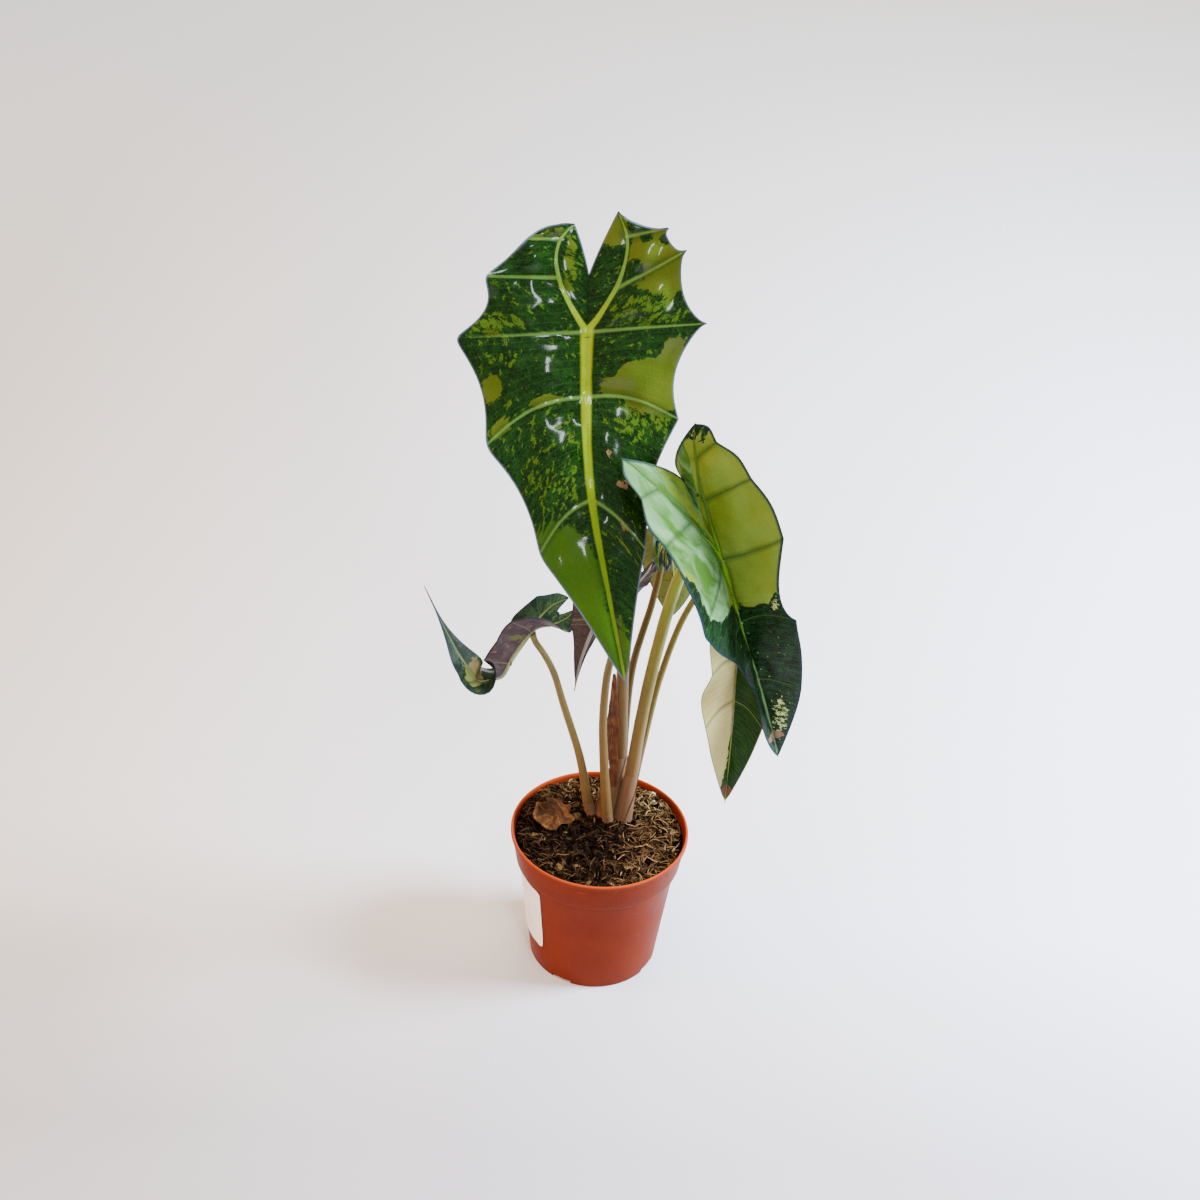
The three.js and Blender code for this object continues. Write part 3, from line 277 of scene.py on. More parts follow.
# What lies on the soil: its reach, the oval round the stalks that stays clear, counts and seeds
SCATTER_REACH = 43
SCATTER_EDGE = 42.4
CLUMP_OVAL = (9.0, 7.5)
FIBRE_REACH = 41.8
CHIP_COUNT = 520
GRIT_COUNT = 60
CRUMB_SEED, FIBRE_SEED = 41, 77


# Shapes in numbers: noise, curves and blades

def hash_noise(i, j):
    """The same numbers between 0 and 1 on each run, as in the solids."""
    s = np.sin(i * 127.1 + j * 311.7) * 43758.5453
    return s - np.floor(s)


def smooth_noise(x, y):
    """Smooth noise between 0 and 1 over the plane."""
    i, j = np.floor(x), np.floor(y)
    fx, fy = x - i, y - j
    sx, sy = fx * fx * (3 - 2 * fx), fy * fy * (3 - 2 * fy)
    near = hash_noise(i, j) * (1 - sx) + hash_noise(i + 1, j) * sx
    far = hash_noise(i, j + 1) * (1 - sx) + hash_noise(i + 1, j + 1) * sx
    return near * (1 - sy) + far * sy


def soften(low, high, x):
    """0 below low, 1 above high, and smooth between."""
    t = np.clip((np.asarray(x, float) - low) / (high - low), 0, 1)
    return t * t * (3 - 2 * t)


def mix(a, b, t):
    """From a to b by the share t."""
    return a + (b - a) * t


def unit(vectors):
    """Vectors at length 1."""
    return vectors / np.maximum(np.linalg.norm(vectors, axis=-1, keepdims=True), 1e-12)


def circle(count):
    """Angles evenly round a circle."""
    return np.linspace(0, 2 * np.pi, count, endpoint=False)


def arc(start, middle, end, t):
    """A quadratic through its middle point, at each t."""
    start, middle, end = (np.array(p, float) for p in (start, middle, end))
    control = 2 * middle - (start + end) / 2
    t = np.asarray(t, float)[..., None]
    return mix(mix(start, control, t), mix(control, end, t), t)


def run_lengths(line):
    """How far along a line of points each of them is."""
    return np.concatenate([[0], np.cumsum(np.linalg.norm(np.diff(line, axis=0), axis=1))])


def hermite(knots, values, x):
    """A cubic through the values at the knots, straight beyond both ends."""
    slopes = np.diff(values, axis=0) / np.diff(knots)[:, None]
    weight = ((knots[1:-1] - knots[:-2]) / (knots[2:] - knots[:-2]))[:, None]
    inner = slopes[:-1] * (1 - weight) + slopes[1:] * weight
    tangents = np.vstack([slopes[:1], inner, slopes[-1:]])
    i = np.clip(np.searchsorted(knots, x, side="right") - 1, 0, len(knots) - 2)
    h = (knots[i + 1] - knots[i])[:, None]
    t = np.clip((x - knots[i])[:, None] / h, 0, 1)
    found = (values[i] * (2 * t**3 - 3 * t**2 + 1) + tangents[i] * h * (t**3 - 2 * t**2 + t)
             + values[i + 1] * (3 * t**2 - 2 * t**3) + tangents[i + 1] * h * (t**3 - t**2))
    over = np.maximum(x - knots[-1], 0)[:, None]
    under = np.minimum(x - knots[0], 0)[:, None]
    return found + over * tangents[-1] + under * tangents[0]


def leaf_frame(leaf, u):
    """The midrib at distances from the stalk: place, facing, way across, and u kept on it."""
    knots, at = leaf["knots"], leaf["at"]
    along = unit(hermite(knots, at, u + 0.5) - hermite(knots, at, u - 0.5))
    inside = np.clip(u, knots[0], leaf["tip"])
    facing = hermite(knots, leaf["facing"], inside)
    facing = unit(facing - (facing * along).sum(-1, keepdims=True) * along)
    return hermite(knots, at, u), facing, np.cross(facing, along), inside


def on_blade(leaf, u, v, lift):
    """Where flat places on the blade lie in space."""
    place, facing, across, inside = leaf_frame(leaf, u)
    folds = np.radians(hermite(leaf["knots"], leaf["folds"], inside))
    curls = np.radians(hermite(leaf["knots"], leaf["curls"], inside)) / 10
    right = v >= 0
    fold = np.where(right, folds[:, 1], folds[:, 0])
    curl = np.where(right, curls[:, 1], curls[:, 0])
    curl = np.where(np.abs(curl) < LEAST_CURL, LEAST_CURL, curl)
    sign = np.where(right, 1.0, -1.0)
    angle = fold + curl * np.abs(v)
    sideways = (np.sin(angle) - np.sin(fold)) / curl - lift * np.sin(angle)
    upwards = (np.cos(fold) - np.cos(angle)) / curl + lift * np.cos(angle)
    return place + across * (sign * sideways)[:, None] + facing * upwards[:, None]


def complete_leaf(leaf):
    """Fills in what follows from a leaf's few sizes."""
    for name, keys in zip(("at", "facing", "folds", "curls"), zip(*leaf["spine"])):
        leaf[name] = np.array(keys, float)
    lengths = run_lengths(leaf["at"])
    leaf["knots"] = lengths - lengths[leaf["stalk_key"]]
    leaf["tip"] = leaf["knots"][-1]
    leaf["pucker"] = 0.5 * leaf["quilt"] + 0.3
    for side in ("left", "right"):
        middle, lobe = (np.array(leaf[side][k], float) for k in ("rib_middle", "lobe_tip"))
        leaf[side]["rib_length"] = np.hypot(*middle) + np.hypot(*(lobe - middle))


for each_leaf in LEAVES.values():
    complete_leaf(each_leaf)


def root_points(side, root):
    """Where the rows start: on the midrib, or on the basal rib for a negative distance."""
    straight = np.stack([root, np.zeros_like(root)], -1)
    bent = arc((0, 0), side["rib_middle"], side["lobe_tip"], -root / side["rib_length"])
    return np.where((root >= 0)[:, None], straight, bent)


def leaf_rows(leaf, side):
    """The rows of one half from the tip to the lobe: root, margin, w, first span, sinus way q."""
    ends = [(leaf["tip"], (leaf["tip"], 0.0))]
    ends += [(vein[0], vein[1:]) for vein in side["veins"]]
    ends += [(-side["rib_length"], side["lobe_tip"])]
    roots, margins, ways, firsts, sinus_ways = [], [], [], [], []
    for span in range(len(ends) - 1):
        last = span == len(ends) - 2
        f = np.linspace(0, 1, BLADE_ROWS[span] + 1)[: None if last else -1]
        if span < 3:
            w = 0.5 - 0.5 * np.cos(np.pi * f)
        else:
            w = np.interp(f, np.linspace(0, 1, len(leaf["span"])), leaf["span"])
        margin = arc(ends[span][1], side["dips"][span], ends[span + 1][1], w)
        if span == 0:
            t = np.minimum(w / leaf["drip"], 1)
            margin[:, 1] *= 0.14 + 0.86 * t * t * (3 - 2 * t)
        roots.append(mix(ends[span][0], ends[span + 1][0], w))
        margins.append(margin)
        ways.append(w)
        firsts.append(np.full(len(w), span == 0))
        sinus_ways.append((span - 3 + f) / 3 if span >= 3 else np.full(len(w), -1.0))
    margins = np.vstack(margins)
    for vein, reach in side["teeth"]:
        root, *end = side["veins"][vein]
        end = np.array(end, float)
        way = unit(end - root_points(side, np.array([float(root)]))[0])
        off = np.linalg.norm(margins - end, axis=1)
        margins += way * (reach * np.exp(-(off / 1.3) ** 2))[:, None]
    if side["rounding"]:
        gone = run_lengths(margins)
        weight = np.exp(-((gone[:, None] - gone) / side["rounding"]) ** 2) * np.gradient(gone)
        rounded = weight @ margins / weight.sum(1, keepdims=True)
        from_end = np.minimum(gone, gone[-1] - gone)
        margins = mix(margins, rounded, soften(2, 9, from_end)[:, None])
    return (np.concatenate(roots), margins, np.concatenate(ways), np.concatenate(firsts),
            np.concatenate(sinus_ways))


def nearest(points, line):
    """Distance from each flat point to a line of points, and how far along it that is, 0 to 1."""
    best = np.full(len(points), 1e9)
    along = np.zeros(len(points))
    lengths = run_lengths(line)
    for i in range(len(line) - 1):
        step = line[i + 1] - line[i]
        size = max(step @ step, 1e-12)
        t = np.clip((points - line[i]) @ step / size, 0, 1)
        off = np.linalg.norm(points - line[i] - t[:, None] * step, axis=1)
        closer = off < best
        best = np.where(closer, off, best)
        along = np.where(closer, mix(lengths[i], lengths[i + 1], t) / lengths[-1], along)
    return best, along


def bowed(root, margin, t, tip):
    """A row from its root to the margin, arched back towards the stalk as the veins are."""
    points = mix(root, margin, t[:, None])
    length = np.linalg.norm(margin - root)
    bow = 0.11 * length * np.clip(root[0] / 25, 0, 1) * np.clip((tip - root[0]) / 30, 0, 1)
    points[:, 0] -= bow * np.sin(np.pi * t)
    return points


def patch_field(u, v, patches):
    """Adds up soft oval patches (along, across, half length, half width, turn, amount)."""
    total = np.zeros(len(u))
    for along, across, long_half, wide_half, turn, amount in patches:
        c, s = math.cos(math.radians(turn)), math.sin(math.radians(turn))
        du, dv = u - along, v - across
        reach = np.hypot((du * c + dv * s) / long_half, (dv * c - du * s) / wide_half)
        total += amount * (1 - soften(0.55, 1.25, reach))
    return total


def blade_sheet(leaf):
    """The fine grid of a blade laid flat, with what each of its places carries."""
    grids = []
    for name, sign in (("left", -1), ("right", 1)):
        side = leaf[name]
        root, margin, w, first, q = leaf_rows(leaf, side)
        start = root_points(side, root)
        t = np.linspace(0, 1, BLADE_COLUMNS) ** 1.6
        flat = np.stack([bowed(start[i], margin[i], t, leaf["tip"]) for i in range(len(root))])
        between = np.sin(np.pi * w)[:, None] ** 2
        bulge = leaf["quilt"] * between * np.where(first, 0.5, 1.0)[:, None]
        waved = np.where(first, soften(0.6, 1, w), np.cos(2 * np.pi * w))[:, None]
        lift = bulge * np.sin(np.pi * np.minimum(t * 1.15, 1)) + leaf["ripple"] * waved * t**3
        span = np.linalg.norm(margin - start, axis=1)[:, None] * t
        flow = np.stack([root[:, None] + 0 * t, sign * span, 0 * span], -1)
        grids.append((flat, lift, flow, sign, sign < 0))
        basal = q >= 0
        way = q[basal]
        sinus = (-leaf["sinus"], 0.0)
        line = np.array(sinus) * (way / 0.5)[:, None]
        bent = arc(sinus, side["inner_margin"], side["lobe_tip"], (way - 0.5) / 0.5)
        inwards = np.where((way <= 0.5)[:, None], line, bent)
        t = np.linspace(0, 1, BASAL_COLUMNS) ** 1.25
        flat = mix(start[basal][:, None], inwards[:, None], t[:, None])
        lift = 0.5 * leaf["quilt"] * np.sin(np.pi * t) * np.sin(np.pi * way)[:, None]
        span = np.linalg.norm(inwards - start[basal], axis=1)[:, None] * t
        flow = np.stack([root[basal][:, None] + 0 * t, -sign * span, 0 * span], -1)
        grids.append((flat, lift, flow, sign, sign > 0))
    return grids


def blade_marks(leaf, points, sign):
    """For flat places: nearness to a rib and to a vein (1 on its line, 0 at its edge), the rib's
    and the vein's depth, and the distance to the margin."""
    side = leaf["left" if sign < 0 else "right"]
    stout = leaf["stout"]
    widths = leaf["rib_width"]
    rib_near = np.full(len(points), -3.0)
    rib_depth = np.zeros(len(points))
    midrib = np.stack([np.linspace(0, leaf["tip"], 30), np.zeros(30)], -1)
    basal = root_points(side, -np.linspace(0, side["rib_length"], 24))
    lines = [(midrib, widths[0], widths[1], MIDRIB_DEPTH, 0.8),
             (basal, widths[2], 0.35 * widths[2], BASAL_RIB_DEPTH * 1.5, 0.8)]
    for line, wide, narrow, depth, fade in lines:
        off, along = nearest(points, line)
        near = 1 - off / mix(wide, narrow, along ** 0.75)
        rib_near = np.maximum(rib_near, near)
        rib_depth = np.maximum(rib_depth, depth * stout * (1 - fade * along) * soften(0, 1, near))
    vein_near = np.full(len(points), -6.0)
    vein_depth = np.zeros(len(points))
    for vein in side["veins"]:
        start = root_points(side, np.array([float(vein[0])]))[0]
        line = bowed(start, np.array(vein[1:], float), np.linspace(0, 1, 24), leaf["tip"])
        off, along = nearest(points, line)
        near = 1 - off / mix(widths[3], 0.45 * widths[3], along)
        vein_near = np.maximum(vein_near, near)
        depth = VEIN_DEPTH * stout * (1 - along) * soften(0, 1, near)
        vein_depth = np.maximum(vein_depth, depth)
    return rib_near, vein_near, rib_depth, vein_depth


def new_piece(name, points, faces, materials, indexes=None, smooth=True, sharp=None):
    """An object from points in millimetres and its faces, riding on the plant's one body."""
    mesh = bpy.data.meshes.new(name)
    mesh.from_pydata((np.asarray(points) * MM).tolist(), [], faces)
    for material in materials:
        mesh.materials.append(material)
    if indexes is not None:
        mesh.polygons.foreach_set("material_index", indexes)
    mesh.polygons.foreach_set("use_smooth", [smooth] * len(mesh.polygons))
    mesh.update()
    if sharp is not None:
        mesh.set_sharp_from_angle(angle=math.radians(sharp))
    piece = bpy.data.objects.new(name, mesh)
    bpy.context.scene.collection.objects.link(piece)
    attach(piece, "root")
    return piece


def carry(piece, name, values, domain="CORNER"):
    """Stores a value or vector for each corner or point, for the material to read."""
    values = np.asarray(values, np.float32)
    kind = "FLOAT_VECTOR" if values.ndim == 2 else "FLOAT"
    attribute = piece.data.attributes.new(name, kind, domain)
    attribute.data.foreach_set("vector" if values.ndim == 2 else "value", values.ravel())


def grid_faces(ids, flip):
    """Faces over a grid of point numbers as corner positions; meeting rows leave triangles."""
    rows, columns = ids.shape
    flat = np.arange(rows * columns).reshape(rows, columns)
    faces = []
    for i in range(rows - 1):
        for j in range(columns - 1):
            kept = []
            for corner in (flat[i, j], flat[i, j + 1], flat[i + 1, j + 1], flat[i + 1, j]):
                if ids.flat[corner] not in [ids.flat[k] for k in kept]:
                    kept.append(corner)
            if len(kept) > 2:
                faces.append(kept[::-1] if flip else kept)
    return faces


def whole_faces(faces, ids):
    """The faces without any that has no area or lies on another one."""
    kept, known = [], set()
    for face in faces:
        key = frozenset(int(ids[corner]) for corner in face)
        if len(key) == len(face) and key not in known:
            known.add(key)
            kept.append(face)
    return kept


def build_blade(name, leaf, materials, puckering):
    """A closed blade: both faces and the edge, thick on its ribs and thin at its margin."""
    flats, lifts, flows, signs, faces, margins = [], [], [], [], [], []
    known, ids, base = {}, [], 0
    for flat, lift, flow, sign, flip in blade_sheet(leaf):
        rows, columns = lift.shape
        points = flat.reshape(-1, 2)
        keys = np.round(points * [1, sign] * 400).astype(int)
        numbers = [known.setdefault((a, b), len(known)) for a, b in keys.tolist()]
        ids += numbers
        grid = np.array(numbers).reshape(rows, columns)
        faces += [[base + corner for corner in face] for face in grid_faces(grid, flip)]
        flats.append(points * [1, sign])
        lifts.append(lift.ravel())
        flows.append(flow.reshape(-1, 3))
        signs.append(np.full(len(points), sign))
        margins.append(flat[:, -1] * [1, sign])
        base += len(points)
    flats, lifts, flows = np.vstack(flats), np.concatenate(lifts), np.vstack(flows)
    signs, ids = np.concatenate(signs), np.array(ids)
    edge = np.full(len(flats), 99.0)
    for number, line in enumerate(margins):
        if number % 2:
            line = line[len(line) // 2:]
        edge = np.minimum(edge, nearest(flats, line)[0])
    marks = np.zeros((len(flats), 4))
    for sign in (-1, 1):
        chosen = signs == sign
        found = blade_marks(leaf, flats[chosen] * [1, sign], sign)
        marks[chosen] = np.stack(found, -1)
    first = np.full(len(known), -1)
    for position in range(len(ids) - 1, -1, -1):
        first[ids[position]] = position
    u, v = flats[first, 0], flats[first, 1]
    v = np.where(signs[first] < 0, np.minimum(v, -1e-9), v)
    puckers = (leaf["pucker"] * (smooth_noise(u / 6 + 9, v / 6 + 40) - 0.5)
               + 0.05 * (smooth_noise(u / 2.6 + 3, v / 2.6 + 70) - 0.5))
    fine = puckering * puckers * soften(1, 6, edge[first])
    space = on_blade(leaf, u, v, lifts[first] + fine)
    faces = whole_faces(faces, ids)
    merged = [[ids[corner] for corner in face] for face in faces]
    normals = np.zeros_like(space)
    for face in merged:
        a, b, c = space[face[0]], space[face[1]], space[face[-1] if len(face) == 4 else face[2]]
        normals[face] += np.cross(b - a, c - a)
    normals = unit(normals)
    thin = mix(0.15, 0.3, soften(0, 2.5, edge[first]))
    above = thin + 0.32 * marks[first, 2] + 0.3 * marks[first, 3]
    below = thin + marks[first, 2] + marks[first, 3]
    points = np.vstack([space + normals * above[:, None], space - normals * below[:, None]])
    count = len(space)
    all_faces = merged + [[k + count for k in face[::-1]] for face in merged]
    corners = faces + [face[::-1] for face in faces]
    slots = [0] * len(merged) + [1] * len(merged)
    directed = {}
    for face, spots in zip(merged, faces):
        for k in range(len(face)):
            step = (face[k], face[(k + 1) % len(face)])
            directed[step] = (spots[k], spots[(k + 1) % len(face)])
    for (a, b), (p, q) in directed.items():
        if (b, a) not in directed:
            all_faces.append([b, a, a + count, b + count])
            corners.append([q, p, p, q])
            slots.append(1)
    piece = new_piece(name, points, [list(map(int, f)) for f in all_faces], materials, slots,
                      sharp=55)
    order = np.array([spot for face in corners for spot in face])
    zones = np.stack([patch_field(flats[:, 0], flats[:, 1], leaf.get(key, ()))
                      for key in ("pale", "tan", "fleck", "plain")], -1)
    carry(piece, "flow", flows[order])
    carry(piece, "flat", np.column_stack([flats, zones[:, 3]])[order])
    carry(piece, "marks", np.column_stack([marks[:, :2], edge])[order])
    carry(piece, "zones", zones[order][:, :3])
    return piece


# Curves for stalks

def stalk_line(route, count):
    """Evenly spaced places on a smooth centripetal curve through a route, as in the solids."""
    points = np.array(route, float)
    before, after = 2 * points[0] - points[1], 2 * points[-1] - points[-2]
    padded = np.vstack([before, points, after])
    found = []
    for i in range(len(points) - 1):
        p0, p1, p2, p3 = padded[i:i + 4]
        d0, d1, d2 = (max(np.sqrt(np.linalg.norm(b - a)), 1e-4)
                      for a, b in ((p0, p1), (p1, p2), (p2, p3)))
        t1 = ((p1 - p0) / d0 - (p2 - p0) / (d0 + d1) + (p2 - p1) / d1) * d1
        t2 = ((p2 - p1) / d1 - (p3 - p1) / (d1 + d2) + (p3 - p2) / d2) * d1
        t = np.linspace(0, 1, 60)[:, None]
        found.append(p1 + t1 * t + (-3 * p1 + 3 * p2 - 2 * t1 - t2) * t**2
                     + (2 * p1 - 2 * p2 + t1 + t2) * t**3)
    fine = np.vstack(found)
    lengths = run_lengths(fine)
    ways = np.linspace(0, lengths[-1], count)
    return np.stack([np.interp(ways, lengths, fine[:, axis]) for axis in range(3)], -1)


def carried_frames(line):
    """Directions across a line that turn as little as they can along it."""
    along = unit(np.gradient(line, axis=0))
    first = np.cross(along[0], (0.0, 1.0, 0.0))
    across = [unit(first)]
    for way in along[1:]:
        side = across[-1] - (across[-1] @ way) * way
        across.append(unit(side))
    across = np.array(across)
    return along, across, np.cross(along, across)


def ring_faces(rows, sides, base=0):
    """Faces between rings of points that follow each other."""
    return [[base + i * sides + j, base + i * sides + (j + 1) % sides,
             base + (i + 1) * sides + (j + 1) % sides, base + (i + 1) * sides + j]
            for i in range(rows - 1) for j in range(sides)]


def tube(line, radii, sides, ridge=0.0, seed=0.0, flat=1.0):
    """A closed tube: points, faces, and for each corner (around, along, share of the way)."""
    along, across, other = carried_frames(line)
    lengths = run_lengths(line)
    angles = circle(sides)
    wobble = smooth_noise(lengths[:, None] / 9 + seed, angles[None] * 1.3 + seed) - 0.5
    ribs = ridge * (np.cos(5 * angles[None] + seed) + 0.6 * np.cos(9 * angles[None] + 2 * seed))
    radius = np.asarray(radii)[:, None] * (1 + ribs + 0.05 * wobble)
    points = (line[:, None] + across[:, None] * (radius * np.cos(angles))[..., None]
              + other[:, None] * (flat * radius * np.sin(angles))[..., None]).reshape(-1, 3)
    points = np.vstack([points, line[:1] - along[:1] * 0.2, line[-1:] + along[-1:] * 0.2])
    faces, data = ring_faces(len(line), sides), []
    mean = float(np.mean(radii))
    share = lengths / lengths[-1]
    for i in range(len(line) - 1):
        for angle in angles:
            data += [((angle + turn) * mean, lengths[k], share[k])
                     for turn, k in ((0, i), (2 * np.pi / sides, i), (2 * np.pi / sides, i + 1),
                                     (0, i + 1))]
    low, high, top = len(points) - 2, len(points) - 1, (len(line) - 1) * sides
    for j in range(sides):
        n = (j + 1) % sides
        faces += [[low, n, j], [high, top + j, top + n]]
        data += [(0, 0, 0)] * 3 + [(0, lengths[-1], 1)] * 3
    return points, faces, data


def stalk_seat(name):
    """Where a stalk meets the underside of its blade, sunk a little into the rib."""
    leaf = LEAVES[name]
    place, facing = leaf_frame(leaf, np.array([0.0]))[:2]
    depth = HALF_BLADE + 0.35 * MIDRIB_DEPTH * leaf["stout"]
    return place[0] - facing[0] * depth


def stalk_radius(radii, share):
    """Radius along a stalk from those at its foot, half way and by the blade, as in the solids."""
    lower = mix(radii[0], radii[1], 1 - (1 - 2 * share) ** 2)
    return np.where(share < 0.5, lower, mix(radii[1], radii[2], 2 * share - 1))


def join(parts):
    """Several shapes of (points, faces, data) as one."""
    points, faces, data, base = [], [], [], 0
    for some_points, some_faces, some_data in parts:
        points.append(some_points)
        faces += [[base + k for k in face] for face in some_faces]
        data += list(some_data)
        base += len(some_points)
    return np.vstack(points), faces, data


# Materials

def linear(code):
    """An sRGB hex colour, or a colour from the panel, as linear red, green, blue and alpha."""
    if not isinstance(code, str):
        return (*code, 1.0)
    parts = [int(code[i:i + 2], 16) / 255 for i in (1, 3, 5)]
    return (*[p / 12.92 if p <= 0.04045 else ((p + 0.055) / 1.055) ** 2.4 for p in parts], 1.0)


# Settings that all nodes of a kind share, unless a call says otherwise
USUAL = {"Mix": {"data_type": "RGBA"}, "TexNoise": {"Scale": 1.0}, "TexVoronoi": {"Scale": 1.0}}


def add_node(tree, kind, settings=None, links=None):
    """Adds a shader node with its settings, and links its sockets to outputs, or to nodes by
    their main output."""
    node = tree.nodes.new("ShaderNode" + kind)
    for name, value in {**USUAL.get(kind, {}), **(settings or {})}.items():
        if name == "stops":
            ramp = node.color_ramp.elements
            while len(ramp) < len(value):
                ramp.new(0.5)
            for stop, (position, colour) in zip(ramp, value):
                stop.position, stop.color = position, linear(colour)
        elif isinstance(name, int) or name in node.inputs:
            socket = node.inputs[name]
            socket.default_value = linear(value) if socket.type == "RGBA" else value
        else:
            setattr(node, name, value)
    for name, source in (links or {}).items():
        if isinstance(source, bpy.types.Node):
            source = source.outputs[2 if source.type == "MIX" else 0]
        tree.links.new(source, node.inputs[name])
    return node


def new_material(name):
    """A material with an empty tree, and the function that adds nodes to that tree."""
    material = bpy.data.materials.new(name)
    material.use_nodes = True
    material.node_tree.nodes.clear()
    return material, partial(add_node, material.node_tree)


def finish_material(add, links, settings):
    """Adds the surface shader and the output."""
    add("OutputMaterial", None, {"Surface": add("BsdfPrincipled", settings, links)})


def leaf_skin(name, look):
    """Living leaf, waxy cuticle over variegated tissue.

    Dark and pale cells meet in ragged patches 3 to 15 mm long, drawn out along the side veins;
    finer flecks of 1 to 3 mm lie in them. Fine veins run 3 mm apart between the main ones.
    """
    material, add = new_material(name)
    flow, flat, marks, zones = (add("Attribute", {"attribute_name": name}).outputs["Vector"]
                                for name in ("flow", "flat", "marks", "zones"))
    rib, vein, edge = add("SeparateXYZ", None, {0: marks}).outputs
    pale_zone, tan_zone, fleck_zone = add("SeparateXYZ", None, {0: zones}).outputs
    flow_x = add("SeparateXYZ", None, {0: flow})
    plain_zone = add("SeparateXYZ", None, {0: flat}).outputs[2]
    seed = look["seed"]

    patch_at = add("Mapping", {"Scale": (1 / 6.5, 1 / 11, 1), "Location": (seed, 0, 0)},
                   {"Vector": flow})
    patches = add("TexNoise", {"Detail": 7.0, "Roughness": 0.66, "Distortion": 0.5},
                  {"Vector": patch_at})
    pale_sum = add("Math", {"operation": "MULTIPLY_ADD", 1: 0.3}, {0: pale_zone, 2: patches})
    pale_mask = add("MapRange", {1: look["pale_level"], 2: look["pale_level"] + 0.035},
                    {0: pale_sum})
    fleck_at = add("Mapping",
                   {"Scale": (1 / look["fleck_way"], 1 / look["fleck_across"], 1),
                    "Location": (seed, 7, 3)}, {"Vector": flow})
    flecks = add("TexNoise", {"Detail": 5.0, "Roughness": 0.7, "Distortion": 0.3},
                 {"Vector": fleck_at})
    fleck_sum = add("Math", {"operation": "MULTIPLY_ADD", 1: 0.25}, {0: fleck_zone, 2: flecks})
    fleck_mask = add("MapRange", {1: look["fleck_level"], 2: look["fleck_level"] + 0.03},
                     {0: fleck_sum})
    tan_at = add("Mapping", {"Scale": (1 / 3.5, 1 / 6, 1), "Location": (seed, 17, 9)},
                 {"Vector": flow})
    tans = add("TexNoise", {"Detail": 5.0, "Roughness": 0.65}, {"Vector": tan_at})
    tan_sum = add("Math", {"operation": "MULTIPLY_ADD", 1: 0.42}, {0: tan_zone, 2: tans})
    tan_mask = add("MapRange", {1: 0.82, 2: 0.86}, {0: tan_sum})

    tone_at = add("Mapping", {"Scale": (1 / 17, 1 / 17, 1), "Location": (seed, 2, 5)},
                  {"Vector": flat})
    tone = add("TexNoise", {"Detail": 3.0}, {"Vector": tone_at})
    tone_mask = add("MapRange", {1: 0.35, 2: 0.65}, {0: tone})
    dark_mask = add("MapRange", {1: 0.46, 2: 0.58}, {0: tans})
    dark = add("Mix", {6: look["dark"], 7: look["dark_other"]}, {0: dark_mask})
    pale = add("Mix", {6: look["pale"], 7: look["pale_other"]}, {0: tone_mask})
    colour = add("Mix", {7: look["fleck"]}, {0: fleck_mask, 6: dark})
    colour = add("Mix", None, {0: pale_mask, 6: colour, 7: pale})
    # Plain parts have one even tone with a ragged border
    plain_sum = add("Math", {"operation": "MULTIPLY_ADD", 1: 0.6}, {0: plain_zone, 2: patches})
    plain_mask = add("MapRange", {1: 0.95, 2: 1.02}, {0: plain_sum})
    # and a painted satin sheen: streaks of a second tone 8 mm apart along their lobe
    sheen_streak_at = add("Mapping",
                   {"vector_type": "TEXTURE", "Scale": (38, 8, 1),
                    "Rotation": (0, 0, math.radians(look["lobe_turn"]))}, {"Vector": flat})
    sheen_and_relief_streaks = add("TexNoise", {"Detail": 4.0, "Roughness": 0.5, "Distortion": 0.6},
                {"Vector": sheen_streak_at})
    painted_sheen_mask = add("MapRange", {1: 0.42, 2: 0.68}, {0: sheen_and_relief_streaks})
    plain = add("Mix", {6: look["plain"], 7: look["plain_sheen_streak"]}, {0: painted_sheen_mask})
    colour = add("Mix", None, {0: plain_mask, 6: colour, 7: plain})
    colour = add("Mix", {7: look["tan"]}, {0: tan_mask, 6: colour})

    # Painted shade beside the ribs and veins, where the blade dips to meet them; the tissue there
    # is also a darker green
    shade_beside_rib = add("MapRange", {"interpolation_type": "SMOOTHSTEP", 1: -1.6, 2: 0.1, 4: 0.5},
                     {0: rib})
    shade_beside_vein = add("MapRange", {"interpolation_type": "SMOOTHSTEP", 1: -4.0, 2: 0.2, 4: 0.4},
                      {0: vein})
    dip = add("Math", {"operation": "MAXIMUM"}, {0: shade_beside_rib, 1: shade_beside_vein})
    colour = add("Mix", {7: look["dark"]}, {0: dip, 6: colour})

    # Fine veins every 3 mm, and the netted ones between them, about 1.5 mm across
    wander = add("Math", {"operation": "MULTIPLY_ADD", 1: 1.1}, {0: tone, 2: flow_x})
    line_way = add("Math", {"operation": "DIVIDE", 1: 3.0}, {0: wander})
    saw = add("Math", {"operation": "PINGPONG", 1: 0.5}, {0: line_way})
    fine_vein = add("MapRange", {1: 0.0, 2: 0.07, 3: 1.0, 4: 0.0}, {0: saw})
    net_at = add("Mapping", {"Scale": (1 / 1.5, 1 / 1.5, 1)}, {"Vector": flat})
    net = add("TexVoronoi", {"feature": "DISTANCE_TO_EDGE"}, {"Vector": net_at})
    net_line = add("MapRange", {1: 0.0, 2: 0.1, 3: 1.0, 4: 0.0}, {0: net})
    fine_share = add("Math", {"operation": "MULTIPLY", 1: look["fine_vein_share"]}, {0: fine_vein})
    colour = add("Mix", {7: look["fine_vein"]}, {0: fine_share, 6: colour})
    net_share = add("Math", {"operation": "MULTIPLY", 1: 0.12}, {0: net_line})
    colour = add("Mix", {7: look["fine_vein"]}, {0: net_share, 6: colour})

